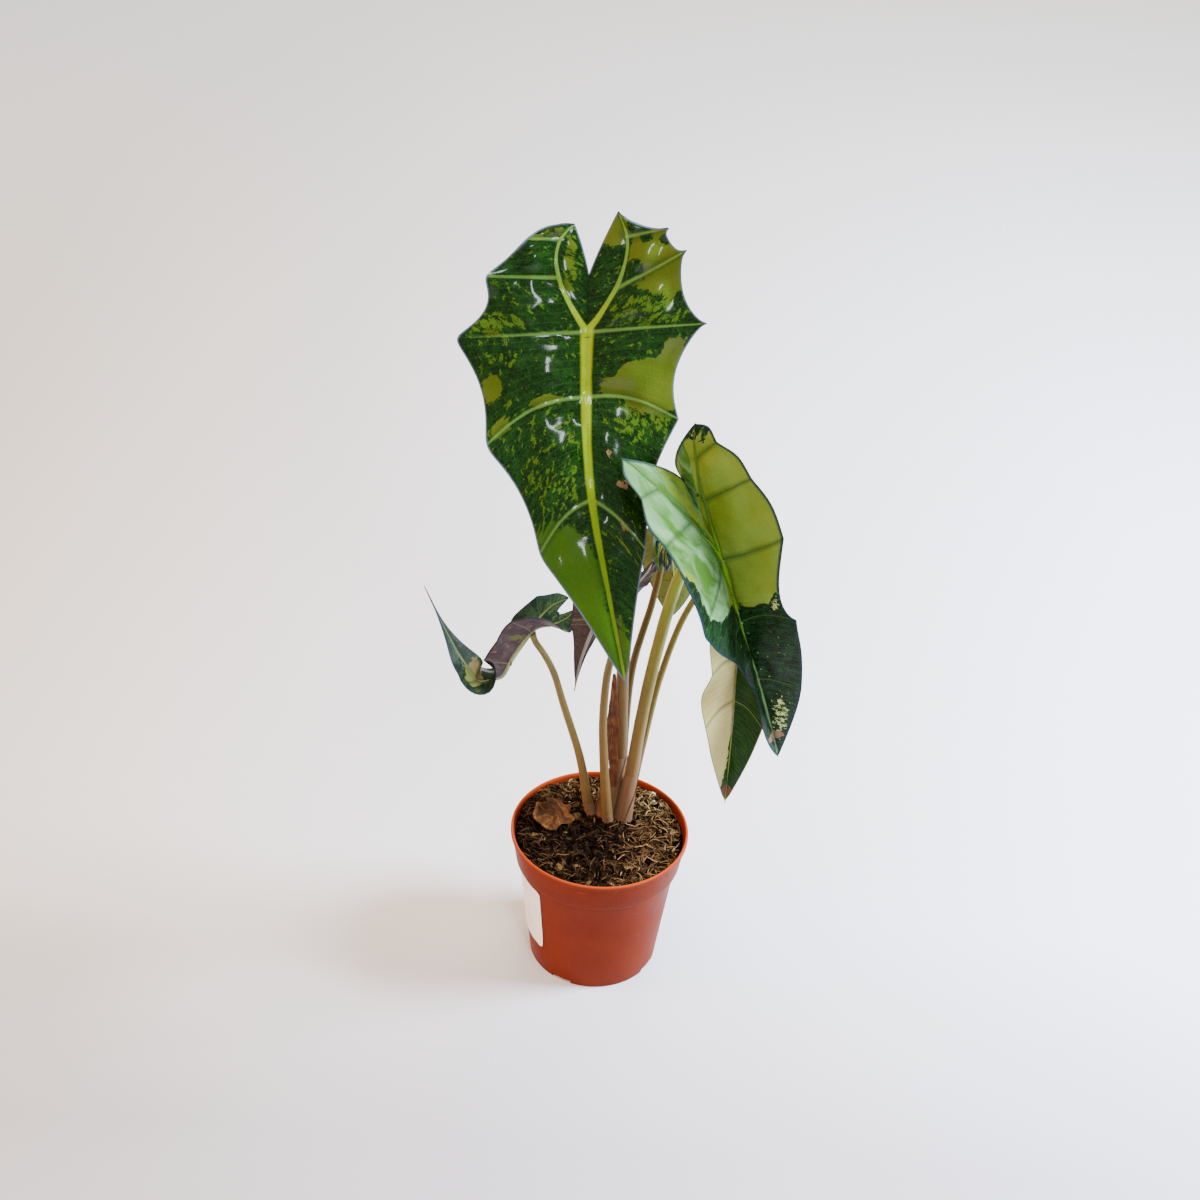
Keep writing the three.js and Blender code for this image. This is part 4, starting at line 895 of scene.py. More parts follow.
    ragged = add("Math", {"operation": "MULTIPLY_ADD", 1: 0.5}, {0: flecks, 2: vein})
    vein_mask = add("MapRange", {1: 0.05, 2: 0.95, 4: 0.74}, {0: ragged})
    colour = add("Mix", {7: look["vein"]}, {0: vein_mask, 6: colour})
    # The rib is brightest by the stalk; both basal ribs, below 0 on the way, dim like the veins
    rib_way = add("MapRange", {1: -30.0, 2: look["rib_fade"]}, {0: flow_x})
    rib_colour = add("ValToRGB",
                     {"stops": [(0.06, look["rib_low"]), (0.22, look["rib"]), (0.48, look["rib"]),
                                (1.0, look["rib_far"])]}, {0: rib_way})
    rib_mask = add("MapRange", {"interpolation_type": "SMOOTHSTEP", 1: -0.1, 2: 0.45}, {0: rib})
    colour = add("Mix", None, {0: rib_mask, 6: colour, 7: rib_colour})
    edge_mask = add("MapRange",
                    {1: 0.5 * look["edge_width"], 2: look["edge_width"], 3: 0.9, 4: 0.0},
                    {0: edge})
    colour = add("Mix", {7: look["edge"]}, {0: edge_mask, 6: colour})

    relief = add("Math", {"operation": "MULTIPLY_ADD", 1: -0.5}, {0: net_line, 2: flecks})
    relief = add("Math", {"operation": "MULTIPLY_ADD", 1: look["fine_relief"]},
                 {0: fine_vein, 2: relief})
    # The sheen streaks also give the bump a real lengthwise relief
    relief = add("Math", {"operation": "MULTIPLY_ADD", 1: 2.0}, {0: sheen_and_relief_streaks, 2: relief})
    bump = add("Bump", {"Strength": 0.35, "Distance": 0.0004}, {"Height": relief})
    rough = add("MapRange", {1: 0.3, 2: 0.7, 3: look["rough"] - 0.05, 4: look["rough"] + 0.1},
                {0: flecks})
    # Plain parts have the thicker wax
    coat = add("MapRange", {3: look["coat"], 4: look["plain_coat"]}, {0: plain_mask})
    finish_material(add,
                    {"Base Color": colour, "Roughness": rough, "Normal": bump,
                     "Coat Weight": coat},
                    {"IOR": 1.45, "Specular IOR Level": 0.025, "Coat Roughness": 0.11})
    return material


def stalk_skin(name, foot, middle, top, streak, seed):
    """Living stalk, smooth skin with fine lengthwise streaks and scattered brown specks."""
    material, add = new_material(name)
    place = add("Attribute", {"attribute_name": "stalk"}).outputs["Vector"]
    share = add("SeparateXYZ", None, {0: place}).outputs[2]
    drift_at = add("Mapping", {"Scale": (1 / 6, 1 / 25, 1), "Location": (seed, 0, 0)},
                   {"Vector": place})
    drift = add("TexNoise", {"Detail": 3.0}, {"Vector": drift_at})
    moved = add("Math", {"operation": "MULTIPLY_ADD", 1: 0.35}, {0: drift, 2: share})
    ramp = add("ValToRGB", {"stops": [(0.1, foot), (0.45, middle), (1.0, top)]}, {0: moved})
    # Streaks about 0.5 mm wide and 12 mm long
    streak_at = add("Mapping", {"Scale": (2.0, 1 / 12, 1), "Location": (seed, 4, 0)},
                    {"Vector": place})
    streaks = add("TexNoise", {"Detail": 5.0, "Roughness": 0.6}, {"Vector": streak_at})
    streak_mask = add("MapRange", {1: 0.45, 2: 0.75, 4: 0.55}, {0: streaks})
    colour = add("Mix", {7: streak}, {0: streak_mask, 6: ramp})
    # Specks of about 0.6 by 1.1 mm
    speck_at = add("Mapping", {"Scale": (1.6, 0.9, 1), "Location": (seed, 9, 2)},
                   {"Vector": place})
    specks = add("TexNoise", {"Detail": 2.0}, {"Vector": speck_at})
    speck_mask = add("MapRange", {1: 0.62, 2: 0.7, 4: 0.5}, {0: specks})
    colour = add("Mix", {7: "#402a18"}, {0: speck_mask, 6: colour})
    bump = add("Bump", {"Strength": 0.3, "Distance": 0.0003}, {"Height": streaks})
    rough = add("MapRange", {1: 0.3, 2: 0.7, 3: 0.34, 4: 0.55}, {0: specks})
    finish_material(add, {"Base Color": colour, "Roughness": rough, "Normal": bump},
                    {"IOR": 1.42, "Specular IOR Level": 0.1})
    return material


def dry_tissue(name, light, middle, dark, grain):
    """Dead leaf tissue, dried and crumpled: matt and fibrous, with darker and lighter blotches."""
    material, add = new_material(name)
    place = add("Attribute", {"attribute_name": "sheet"}).outputs["Vector"]
    grain_at = add("Mapping", {"Scale": grain}, {"Vector": place})
    fibres = add("TexNoise", {"Detail": 6.0, "Roughness": 0.65, "Distortion": 0.4},
                 {"Vector": grain_at})
    blotch_at = add("Mapping", {"Scale": (1 / 5, 1 / 5, 1), "Location": (3, 1, 0)},
                    {"Vector": place})
    blotches = add("TexNoise", {"Detail": 4.0}, {"Vector": blotch_at})
    both = add("Math", {"operation": "ADD"}, {0: fibres, 1: blotches})
    halved = add("Math", {"operation": "MULTIPLY", 1: 0.5}, {0: both})
    ramp = add("ValToRGB", {"stops": [(0.34, dark), (0.5, middle), (0.64, light)]}, {0: halved})
    bump = add("Bump", {"Strength": 0.7, "Distance": 0.0006}, {"Height": fibres})
    rough = add("MapRange", {3: 0.6, 4: 0.85}, {0: blotches})
    finish_material(add, {"Base Color": ramp, "Roughness": rough, "Normal": bump}, {"IOR": 1.4})
    return material


def moulded_plastic(settings):
    """Polypropylene, injection moulded: satin, a little uneven in tone, dusty with soil inside."""
    material, add = new_material("polypropylene_moulded_terracotta")
    place = add("TexCoord").outputs["Object"]
    x, y, z = add("SeparateXYZ", None, {0: place}).outputs
    # Cloudy tone about 20 mm across, and flow streaks 2 mm wide that run up the wall
    clouds = add("TexNoise", {"Scale": 50.0, "Detail": 4.0}, {"Vector": place})
    streak_at = add("Mapping", {"Scale": (500, 500, 25)}, {"Vector": place})
    streaks = add("TexNoise", {"Detail": 3.0}, {"Vector": streak_at})
    tone = add("Math", {"operation": "MULTIPLY_ADD", 1: 0.25}, {0: streaks, 2: clouds})
    tone_mask = add("MapRange", {1: 0.45, 2: 0.8}, {0: tone})
    colour = add("Mix", {6: settings.pot_colour, 7: settings.pot_colour_light}, {0: tone_mask})
    # The thin lip lets light through and looks brighter
    lip_mask = add("MapRange", {1: (RIM_HEIGHT - 1.6) * MM, 2: RIM_HEIGHT * MM, 4: 0.75}, {0: z})
    colour = add("Mix", {7: settings.lip_colour}, {0: lip_mask, 6: colour})
    # Soil dust: specks of about 0.7 mm, thicker on the inside of the collar
    across = add("CombineXYZ", None, {0: x, 1: y})
    radius = add("VectorMath", {"operation": "LENGTH"}, {0: across}).outputs["Value"]
    inside = add("MapRange", {1: 0.0425, 2: 0.0445, 3: 0.2, 4: 0.0}, {0: radius})
    high = add("MapRange", {1: 0.06, 2: 0.066}, {0: z})
    dirty = add("Math", {"operation": "MULTIPLY"}, {0: inside, 1: high})
    specks = add("TexNoise", {"Scale": 1400.0, "Detail": 4.0, "Roughness": 0.7}, {"Vector": place})
    speck_sum = add("Math", {"operation": "ADD"}, {0: specks, 1: dirty})
    speck_mask = add("MapRange", {1: 0.72, 2: 0.8, 4: 0.75}, {0: speck_sum})
    colour = add("Mix", {7: "#2a1c14"}, {0: speck_mask, 6: colour})
    # Scuffs: thin pale lines a few millimetres long
    scuff_at = add("Mapping", {"Scale": (120, 120, 900), "Rotation": (0.3, 0.2, 0)},
                   {"Vector": place})
    scuffs = add("TexNoise", {"Detail": 2.0, "Distortion": 1.5}, {"Vector": scuff_at})
    scuff_mask = add("MapRange", {1: 0.7, 2: 0.76, 4: 0.25}, {0: scuffs})
    colour = add("Mix", {7: "#9a5c4c"}, {0: scuff_mask, 6: colour})
    height = add("Math", {"operation": "MULTIPLY_ADD", 1: 0.3}, {0: specks, 2: streaks})
    bump = add("Bump", {"Strength": 0.12, "Distance": 0.0003}, {"Height": height})
    rough = add("MapRange", {1: 0.3, 2: 0.7, 3: 0.36, 4: 0.52}, {0: clouds})
    finish_material(add, {"Base Color": colour, "Roughness": rough, "Normal": bump},
                    {"IOR": 1.49, "Specular IOR Level": 0.04, "Subsurface Weight": 0.05,
                     "Subsurface Scale": 0.003})
    return material


def coated_paper(settings):
    """Paper, coated and blank: soft white with faint fibres and greyer smudges."""
    material, add = new_material("paper_coated_blank")
    place = add("Attribute", {"attribute_name": "sheet"}).outputs["Vector"]
    fibre_at = add("Mapping", {"Scale": (1.5, 4, 1)}, {"Vector": place})
    fibres = add("TexNoise", {"Detail": 6.0, "Roughness": 0.7}, {"Vector": fibre_at})
    smudge_at = add("Mapping", {"Scale": (1 / 9, 1 / 9, 1)}, {"Vector": place})
    smudges = add("TexNoise", {"Detail": 4.0}, {"Vector": smudge_at})
    wear_and_painted_shade = add("MapRange", {1: 0.45, 2: 0.75, 4: 0.5}, {0: smudges})
    colour = add("Mix", {6: settings.label_colour, 7: "#d6cfc2"}, {0: wear_and_painted_shade})
    grain = add("MapRange", {1: 0.5, 2: 0.8, 4: 0.3}, {0: fibres})
    colour = add("Mix", {7: "#c9c1b3"}, {0: grain, 6: colour})
    bump = add("Bump", {"Strength": 0.2, "Distance": 0.0001}, {"Height": fibres})
    rough = add("MapRange", {3: 0.4, 4: 0.6}, {0: smudges})
    finish_material(add, {"Base Color": colour, "Roughness": rough, "Normal": bump}, {"IOR": 1.5})
    return material


def potting_mix(name, stops, rough_low):
    """Peat, bark and coir, loose and moist: each crumb has its own tone, with grain inside it."""
    material, add = new_material(name)
    tone = add("Attribute", {"attribute_name": "tone"}).outputs["Fac"]
    place = add("TexCoord").outputs["Object"]
    # Grain of about 0.5 mm
    grain = add("TexNoise", {"Scale": 2000.0, "Detail": 5.0, "Roughness": 0.7}, {"Vector": place})
    mixed = add("Math", {"operation": "MULTIPLY_ADD", 1: 0.5}, {0: grain, 2: tone})
    lowered = add("Math", {"operation": "SUBTRACT", 1: 0.25}, {0: mixed})
    ramp = add("ValToRGB", {"stops": stops}, {0: lowered})
    bump = add("Bump", {"Strength": 0.8, "Distance": 0.0005}, {"Height": grain})
    rough = add("MapRange", {1: 0.3, 2: 0.7, 3: rough_low, 4: 0.95}, {0: grain})
    finish_material(add, {"Base Color": ramp, "Roughness": rough, "Normal": bump},
                    {"IOR": 1.4, "Specular IOR Level": 0.06})
    return material


def painted_floor():
    """Matt painted board, rolled: pale, with painted warm light to the left, painted cool light to
    the right and painted shade in front of the pot.
    """
    material, add = new_material("paint_matt_rolled")
    place = add("TexCoord").outputs["Object"]
    x, y, _z = add("SeparateXYZ", None, {0: place}).outputs
    side = add("MapRange", {1: -0.5, 2: 0.35}, {0: x})
    near = add("Mix", {6: FLOOR_PAINTED_WARM_LIGHT, 7: FLOOR_PAINTED_COOL_LIGHT}, {0: side})
    # The painted shade in front of the pot, and both painted light tints, fade out away from it
    away = add("VectorMath", {"operation": "LENGTH"}, {0: place})
    wear_and_painted_shade = add("MapRange", {1: 0.03, 2: -0.14, 4: 0.85}, {0: y})
    close = add("MapRange", {"interpolation_type": "SMOOTHSTEP", 1: 0.25, 2: 0.8, 3: 1.0, 4: 0.0},
                {0: away.outputs["Value"]})
    painted_shade_share = add("Math", {"operation": "MULTIPLY"}, {0: wear_and_painted_shade, 1: close})
    painted_shade_tone = add("Mix", {6: FLOOR_PAINTED_SHADE_LEFT, 7: FLOOR_PAINTED_SHADE_RIGHT}, {0: side})
    near = add("Mix", None, {0: painted_shade_share, 6: near, 7: painted_shade_tone})
    beyond = add("MapRange", {"interpolation_type": "SMOOTHSTEP", 1: 0.5, 2: 1.6},
                 {0: away.outputs["Value"]})
    colour = add("Mix", {7: FLOOR_PALE}, {0: beyond, 6: near})
    clouds = add("TexNoise", {"Scale": 4.0, "Detail": 3.0}, {"Vector": place})
    grain = add("TexNoise", {"Scale": 900.0, "Detail": 3.0}, {"Vector": place})
    bump = add("Bump", {"Strength": 0.05, "Distance": 0.0003}, {"Height": grain})
    rough = add("MapRange", {3: 0.5, 4: 0.7}, {0: clouds})
    finish_material(add, {"Base Color": colour, "Roughness": rough, "Normal": bump}, {"IOR": 1.45})
    return material


# Floor colours: painted warm and cool lamp light near the pot, painted shade in front of it, and
# the even pale floor beyond
FLOOR_PAINTED_WARM_LIGHT = "#c2b8a6"
FLOOR_PAINTED_COOL_LIGHT = "#f6f8fc"
FLOOR_PALE = "#dcdad6"
FLOOR_PAINTED_SHADE_LEFT = "#948c80"
FLOOR_PAINTED_SHADE_RIGHT = "#c6c3ca"

# What each leaf shows. Colours are of the tissue, save the second tone of the plain parts, which
# paints sheen streaks; patches are ovals on the blade laid flat:
# (along, across with left negative, half length, half width, turn, amount)
UPPERSIDE = dict(dark="#041a03", dark_other="#0b2906", fleck="#38500c", pale="#465010",
                 pale_other="#3c4a09", plain="#2f4a05", plain_sheen_streak="#28480d", tan="#74573d",
                 rib="#748803", rib_low="#527228", rib_far="#546f03", vein="#527230",
                 fine_vein="#3d6519", fine_vein_share=0.14, edge="#4b5467", edge_width=0.8,
                 rough=0.27, coat=0.32, plain_coat=0.3, pale_level=0.65, fleck_level=0.58,
                 rib_fade=95.0, fine_relief=-0.5, seed=0.0, lobe_turn=8.0, fleck_way=2.7,
                 fleck_across=3.3)
UNDERSIDE = dict(UPPERSIDE, dark="#33222a", dark_other="#403034", fleck="#4c3c38", pale="#605637",
                 pale_other="#57643c", plain="#4a5729", plain_sheen_streak="#42502a", rib="#7e8460",
                 rib_low="#6e6a50", rib_far="#6e6a5c", vein="#645c4c", fine_vein="#5c5048",
                 fine_vein_share=0.3, edge="#2a2432", rough=0.4, coat=0.0, plain_coat=0.0,
                 pale_level=0.6, fleck_level=0.6, fine_relief=0.8, fleck_way=2.4, fleck_across=4.2)

LOOKS = {
    "front": (UPPERSIDE, UNDERSIDE),
    "right": (dict(UPPERSIDE, dark="#08160b", dark_other="#0d2d13", fleck="#a8b46a",
                   pale="#616f1c", pale_other="#667a2c", plain="#385a1e", plain_sheen_streak="#66885c",
                   lobe_turn=29.0, rib="#57880c", rib_low="#3d5e20", rib_far="#5c7a52",
                   vein="#2c4a1c", fine_vein="#4a6420", edge="#16282c", edge_width=1.6, coat=0.03,
                   plain_coat=0.2, fleck_level=0.66, fleck_way=2.1, fleck_across=2.5, seed=11.0),
              dict(UNDERSIDE, seed=11.0)),
    "hanging": (dict(UPPERSIDE, dark="#0c2a0a", dark_other="#14340c", tan="#5a3222", coat=0.06,
                     pale="#b0a268", pale_other="#a0965c", fleck="#22420f", rib="#6b7032",
                     rib_low="#57680f", rib_far="#6b7032", vein="#566a34", fine_vein="#46541e",
                     fine_vein_share=0.4, edge="#5c6a3c", edge_width=0.5, fleck_level=0.66,
                     seed=23.0), dict(UNDERSIDE, seed=23.0)),
    "left": (dict(UPPERSIDE, dark="#14201a", dark_other="#1f2f1c", fleck="#334123", pale="#6b7032",
                  pale_other="#605637", tan="#7c6440", rib="#5c6a30", rib_low="#4a5729",
                  rib_far="#3c4a2c", vein="#334123", edge="#242a3c", seed=31.0),
             dict(UNDERSIDE, dark="#42363a", dark_other="#4c4242", fleck="#6a5646", seed=31.0)),
    "back": (dict(UPPERSIDE, dark="#12260f", seed=43.0),
             dict(UNDERSIDE, dark="#3a2c26", dark_other="#443832", rib="#8f8c84",
                  rib_low="#8f8c84", seed=43.0)),
    "rear": (dict(UPPERSIDE, dark="#141c26", dark_other="#182a23", fleck="#918f4f", pale="#4f6a0f",
                  pale_other="#3e540f", coat=0.1, fleck_level=0.64, fleck_way=9.0,
                  fleck_across=1.8, seed=57.0),
             dict(UNDERSIDE, dark="#5c6a2c", dark_other="#696e2a", fleck="#4a5729", vein="#4f5c30",
                  rib="#6b7032", seed=57.0)),
}

LEAVES["front"]["pale"] = [
    (22.9, -39.4, 5.6, 5, 23, 1.2), (28.3, -17.5, 9.1, 2.6, -78, 0.9),
    (38.2, -35.2, 6.2, 3.8, -79, 0.5), (-27.4, -8.5, 15.6, 3, 0, 0.5),
    (-39.9, -17.8, 9.8, 2.9, -79, 0.6), (0, -42.3, 7.3, 2.8, 85, 0.5),
    (52, -14, 20, 9.7, 8, 0.1), (-42.5, 9.5, 7.3, 6.7, -24, 1.4),
    (-31, 29.1, 16.4, 13.2, 30, 1.1), (-27.7, 20, 3.8, 3, -14, -2),
    (-40.8, 23.6, 3, 2.7, -87, -1.8), (-39.7, 31.8, 2.6, 2.1, -86, -1.6),
    (-9.2, 24.6, 18.3, 6.4, -78, 0.2), (21, 28, 15.5, 12, -88, 1.5),
    (21.1, 19.2, 14.5, 5.6, -78, 1.3), (7.1, 37.1, 7.1, 6.1, 20, 1.3),
    (27.8, 28.8, 11.2, 5.4, 80, 1.2), (7.8, 11.6, 7.4, 3.6, -84, -1),
    (7.3, 23.7, 9.7, 2.3, -81, -1.4), (36, 20.2, 17.3, 6, -87, 0.2),
]
LEAVES["front"]["tan"] = [
    (-11.6, 15.3, 2.5, 1.5, 89, 0.55), (50.9, 8.1, 4.6, 2.7, -9, 0.85),
    (64.7, 13.6, 4, 3.8, 56, 0.85), (83.3, 12.3, 4.1, 2.8, 8, 0.85),
    (51.9, -11.5, 8.7, 4.8, -5, 0.35), (-39.7, -20, 4.3, 1.9, -83, 0.45),
    (-2.1, -44.4, 4.7, 2.9, 89, 0.35),
]
LEAVES["front"]["fleck"] = [
    (50, -13.4, 22, 12, 5, 0.12), (13.8, -31.7, 15.3, 5.1, 79, 0.15),
    (36.7, 22.4, 18.3, 10, 89, 0.35), (-9.2, 24.6, 18.5, 7.2, -90, 0.35),
    (-27.4, -8.5, 15.6, 3, 0, 0.35), (-2.6, -36.2, 12.9, 5.3, -85, 0.3),
    (114.5, 4.8, 28, 4.7, -17, -0.5), (16.9, -19.6, 14.1, 5.3, 89, -0.4),
    (-24.7, -25.5, 12.3, 4.9, -86, -0.4), (67.7, -17.4, 14.4, 11.2, 51, 0.14),
    (60, 10, 25, 8, 0, -0.2),
]
LEAVES["front"]["plain"] = [(101.7, -14.4, 30, 16.2, 8, 1.2), (142, 0, 22, 12, 0, 1.1)]
LEAVES["right"]["pale"] = [
    (-56.7, -33.6, 66.5, 29.8, 64, 1.4), (-18.6, -13.5, 32.1, 24.1, 39, 1.2),
    (-19.5, 20.1, 52.8, 30.2, -27, 1.4), (-27.9, -1.5, 20.7, 7.8, -27, -2.2),
    (-65.8, 17.4, 5.8, 3, -15, -1.6), (-3.3, -32.8, 16.9, 3.5, 25, -2.2),
    (31.8, -21.8, 37.9, 15.8, 45, -2.4), (69.8, 6.5, 47.3, 21.3, -17, -2.6),
    (20.9, 22.3, 5.9, 2.7, -16, -1.5), (95.7, 5.7, 16.9, 5.5, -14, 0.7),
]
LEAVES["right"]["tan"] = [(95.8, 6.1, 13.9, 4.6, -10, 0.25), (111, 0, 3.5, 6, 0, 2)]
LEAVES["right"]["fleck"] = [
    (-65.8, 17.4, 5.8, 3, -15, 0.5), (95.9, 6.4, 17, 4.4, -10, 0.62),
    (18.7, 22.7, 6.1, 3, -18, 0.6), (-27.9, 28.4, 31.3, 18.1, -36, -0.5),
]
LEAVES["right"]["plain"] = [
    (-42, -29, 50, 20, 29, 1.5), (4, -16, 20, 13, 10, 1.4), (-40, 3, 30, 3.5, -18, 1.3),
    (-30, -8, 24, 2.5, 24, -1.6),
]
LEAVES["hanging"]["tan"] = [(118, 0, 8, 4, 0, 2)]
LEAVES["hanging"]["pale"] = [(45, -9, 80, 8.6, 0, 3), (45, 9, 90, 8.6, 0, -3)]
LEAVES["left"]["pale"] = [
    (42.1, -1.5, 10.2, 6.8, 1, 0.9), (-9.4, 12.2, 4.2, 2, 32, 1.4),
    (6.8, 0.1, 4.1, 4.1, -90, 0.3),
]
LEAVES["left"]["tan"] = [
    (41.4, -2.1, 9, 5.9, -1, 1.0), (-6.1, 12.3, 5.9, 2.1, 21, 1.4),
    (12.9, 0.4, 32.7, 7.4, -65, 0.3),
]
LEAVES["left"]["fleck"] = [(47.6, -7.1, 26, 2.3, -33, 0.6), (-19.2, -1.4, 8.7, 5.6, -27, 0.4)]
LEAVES["rear"]["pale"] = [(-15.7, 5, 12, 1.6, 12, 2.0)]
LEAVES["rear"]["fleck"] = [(-17.1, -0.8, 9, 4.2, -1, 0.4)]

# Colours of each stalk at its foot, half way and at the blade
STALK_COLOURS = {
    "front": ("#6c4e34", "#645028", "#5e5c20"),
    "right": ("#6e5030", "#685828", "#7c8c18"),
    "hanging": ("#644c26", "#685828", "#6e6c26"),
    "left": ("#725434", "#745e30", "#6e6032"),
    "back": ("#705630", "#6a522c", "#544c20"),
    "rear": ("#5a402a", "#524020", "#4e4418"),
}


def make_leaf(name, settings):
    """One leaf blade with its two skins; the panel's colours go to the front leaf."""
    upper, under = (dict(side) for side in LOOKS[name])
    if name == "front":
        upper.update(dark=settings.leaf_dark, pale=settings.leaf_pale, rib=settings.leaf_rib)
        under.update(dark=settings.leaf_underside)
    skins = [leaf_skin(f"leaf_{name}_upper_waxy", upper),
             leaf_skin(f"leaf_{name}_underside_velvety", under)]
    piece = build_blade(f"{name}_leaf", LEAVES[name], skins, settings.puckering)
    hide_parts(f"{name}_blade")


def make_stalk(name):
    """One stalk from its sheath up into the rib of its leaf."""
    given = STALKS[name]
    line = stalk_line([*given["route"], stalk_seat(name)], 90)
    start = line[0] - unit(line[1] - line[0]) * 2.2
    line = np.vstack([start, line])
    share = np.linspace(0, 1, len(line))
    radii = stalk_radius(given["radii"], share)
    radii = radii * (1 + 0.22 * soften(0.965, 1, share)) - 0.12 * (share < 0.02)
    seed = 3.0 + 7 * list(STALKS).index(name)
    points, faces, data = tube(line, radii, 20, ridge=0.012, seed=seed)
    skin = stalk_skin(f"leaf_stalk_{name}", *STALK_COLOURS[name], "#5c4228", seed)
    piece = new_piece(f"{name}_stem", points, faces, [skin], sharp=60)
    carry(piece, "stalk", data)
    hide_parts(f"{name}_stalk")


def thin_faces(rows, columns, flip=False):
    """Faces of a thin closed grid: its upper side, its under side, whose numbers follow, and
    its rim."""
    ids = np.arange(rows * columns).reshape(rows, columns).tolist()
    count = rows * columns
    faces = []
    for near, far in zip(ids, ids[1:]):
        for j in range(columns - 1):
            quad = [near[j], far[j], far[j + 1], near[j + 1]]
            quad = [quad[0], *quad[:0:-1]] if flip else quad
            faces += [quad, [k + count for k in quad[::-1]]]
    rim = [*ids[0], *(row[-1] for row in ids[1:]), *ids[-1][-2::-1],
           *(row[0] for row in ids[-2:0:-1])]
    for pair in zip(rim, rim[1:] + rim[:1]):
        a, b = pair[::-1] if flip else pair
        faces.append([a, b, b + count, a + count])
    return faces


def sheath_flap(line, radii, turn, open_low, open_high, rise):
    """A papery sheath margin: part of a tube round a sheath, narrowing to a point above."""
    across, other = carried_frames(line)[1:]
    columns = 15
    share = np.linspace(0, 1, len(line))
    half_angle = np.radians(mix(open_low, open_high, share ** 1.5)) / 2
    spread = np.linspace(-1, 1, columns)
    angle = np.radians(turn) + half_angle[:, None] * spread[None]
    lift = rise * (0.35 + 0.65 * np.abs(spread[None]) ** 3 * share[:, None])
    lift = lift + 0.15 * (smooth_noise(share[:, None] * 9 + turn, spread[None] * 3 + 5) - 0.5)
    radius = radii[:, None] + lift
    outer = (line[:, None] + across[:, None] * (radius * np.cos(angle))[..., None]
             + other[:, None] * (radius * np.sin(angle))[..., None])
    inner = outer - (outer - line[:, None]) / radius[..., None] * 0.25
    points = np.vstack([outer.reshape(-1, 3), inner.reshape(-1, 3)])
    lengths = share * np.linalg.norm(line[-1] - line[0])
    faces = thin_faces(len(line), columns, flip=True)
    spots = np.array([k % angle.size for face in faces for k in face])
    row = spots // columns
    data = np.column_stack([angle.flat[spots] * radii[row], lengths[row], 0.1 * share[row]])
    return points, faces, data.tolist()


# Sheath margins: on which stalk's sheath, from and to which share of it, turn, width low and high
FLAPS = [
    ("right", 0.0, 1.0, 200, 210, 20, 0.5),
    ("front", 0.0, 1.0, 160, 190, 30, 0.5),
    ("front", 0.05, 0.8, 20, 170, 15, 0.6),
    ("back", 0.0, 0.95, 250, 180, 30, 0.4),
    ("left", 0.1, 0.9, 90, 170, 20, 0.4),
    ("rear", 0.0, 0.9, 40, 190, 20, 0.4),
    ("hanging", 0.0, 0.9, 300, 190, 20, 0.35),
]


def sheath_shape(name):
    """The line and radii of a stalk's sheath, from inside the crown to the stalk's foot."""
    given = STALKS[name]
    foot, after = (np.array(p, float) for p in given["route"][:2])
    start = np.array(given["sheath"], float)
    end = foot + unit(foot - after) * 0.1
    line = stalk_line([start, (start + end) / 2, end], SHEATH_STEPS)
    share = np.linspace(0, 1, len(line))
    radii = np.interp(share, (0, 0.5, 1), (given["sheath_radius"], mix(
        given["sheath_radius"], given["radii"][0], 0.6), given["radii"][0]))
    return line, radii


def make_crown():
    """The short stem, with the sheath of each stalk grown to it and their papery margins."""
    x, y = CROWN_CENTRE
    levels = np.linspace(0, 1, 22)
    heights = mix(CROWN_BOTTOM, CROWN_TOP + 1.5, levels)
    profile = np.interp(levels, (0, 0.35, 0.8, 0.93, 1), (0.6, 0.95, 1.0, 0.93, 0.15))
    line = np.stack([np.full(22, x), np.full(22, y), heights], -1)
    parts = [tube(line, CROWN_RADIUS * profile, 48, ridge=0.01, seed=2.0, flat=CROWN_FLATNESS)]
    for number, name in enumerate(STALKS):
        line, radii = sheath_shape(name)
        points, faces, data = tube(line, radii, 28, ridge=0.012, seed=10.0 + number)
        parts.append((points, faces, [(a, b, 0.08 * c) for a, b, c in data]))
    for name, low, high, turn, wide, narrow, rise in FLAPS:
        line, radii = sheath_shape(name)
        first = int(low * (SHEATH_STEPS - 1))
        last = max(int(high * (SHEATH_STEPS - 1)), first + 5)
        parts.append(sheath_flap(line[first:last + 1], radii[first:last + 1], turn, wide, narrow,
                                 rise))
    points, faces, data = join(parts)
    skin = stalk_skin("leaf_sheath_papery", "#6c4e38", "#7a5c40", "#7a5c40", "#543826", 5.0)
    piece = new_piece("sheath_clump", points, faces, [skin], sharp=50)
    carry(piece, "stalk", data)
    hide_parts("crown")


def closed_sheet(grid, half_thickness):
    """A closed thin body over a grid of places, and each corner's place on it laid flat."""
    rows, columns = grid.shape[:2]
    normals = unit(np.cross(np.gradient(grid, axis=1), np.gradient(grid, axis=0)))
    points = np.vstack([(grid + normals * half_thickness).reshape(-1, 3),
                        (grid - normals * half_thickness).reshape(-1, 3)])
    count = rows * columns
    faces = thin_faces(rows, columns)
    down = run_lengths(grid.mean(1))
    over = np.cumsum(np.linalg.norm(np.diff(grid, axis=1, prepend=grid[:, :1]), axis=2), axis=1)
    over = over - over[:, -1:] / 2
    data = [(over.flat[k % count], down[(k % count) // columns], float(k >= count))
            for face in faces for k in face]
    return points, faces, data


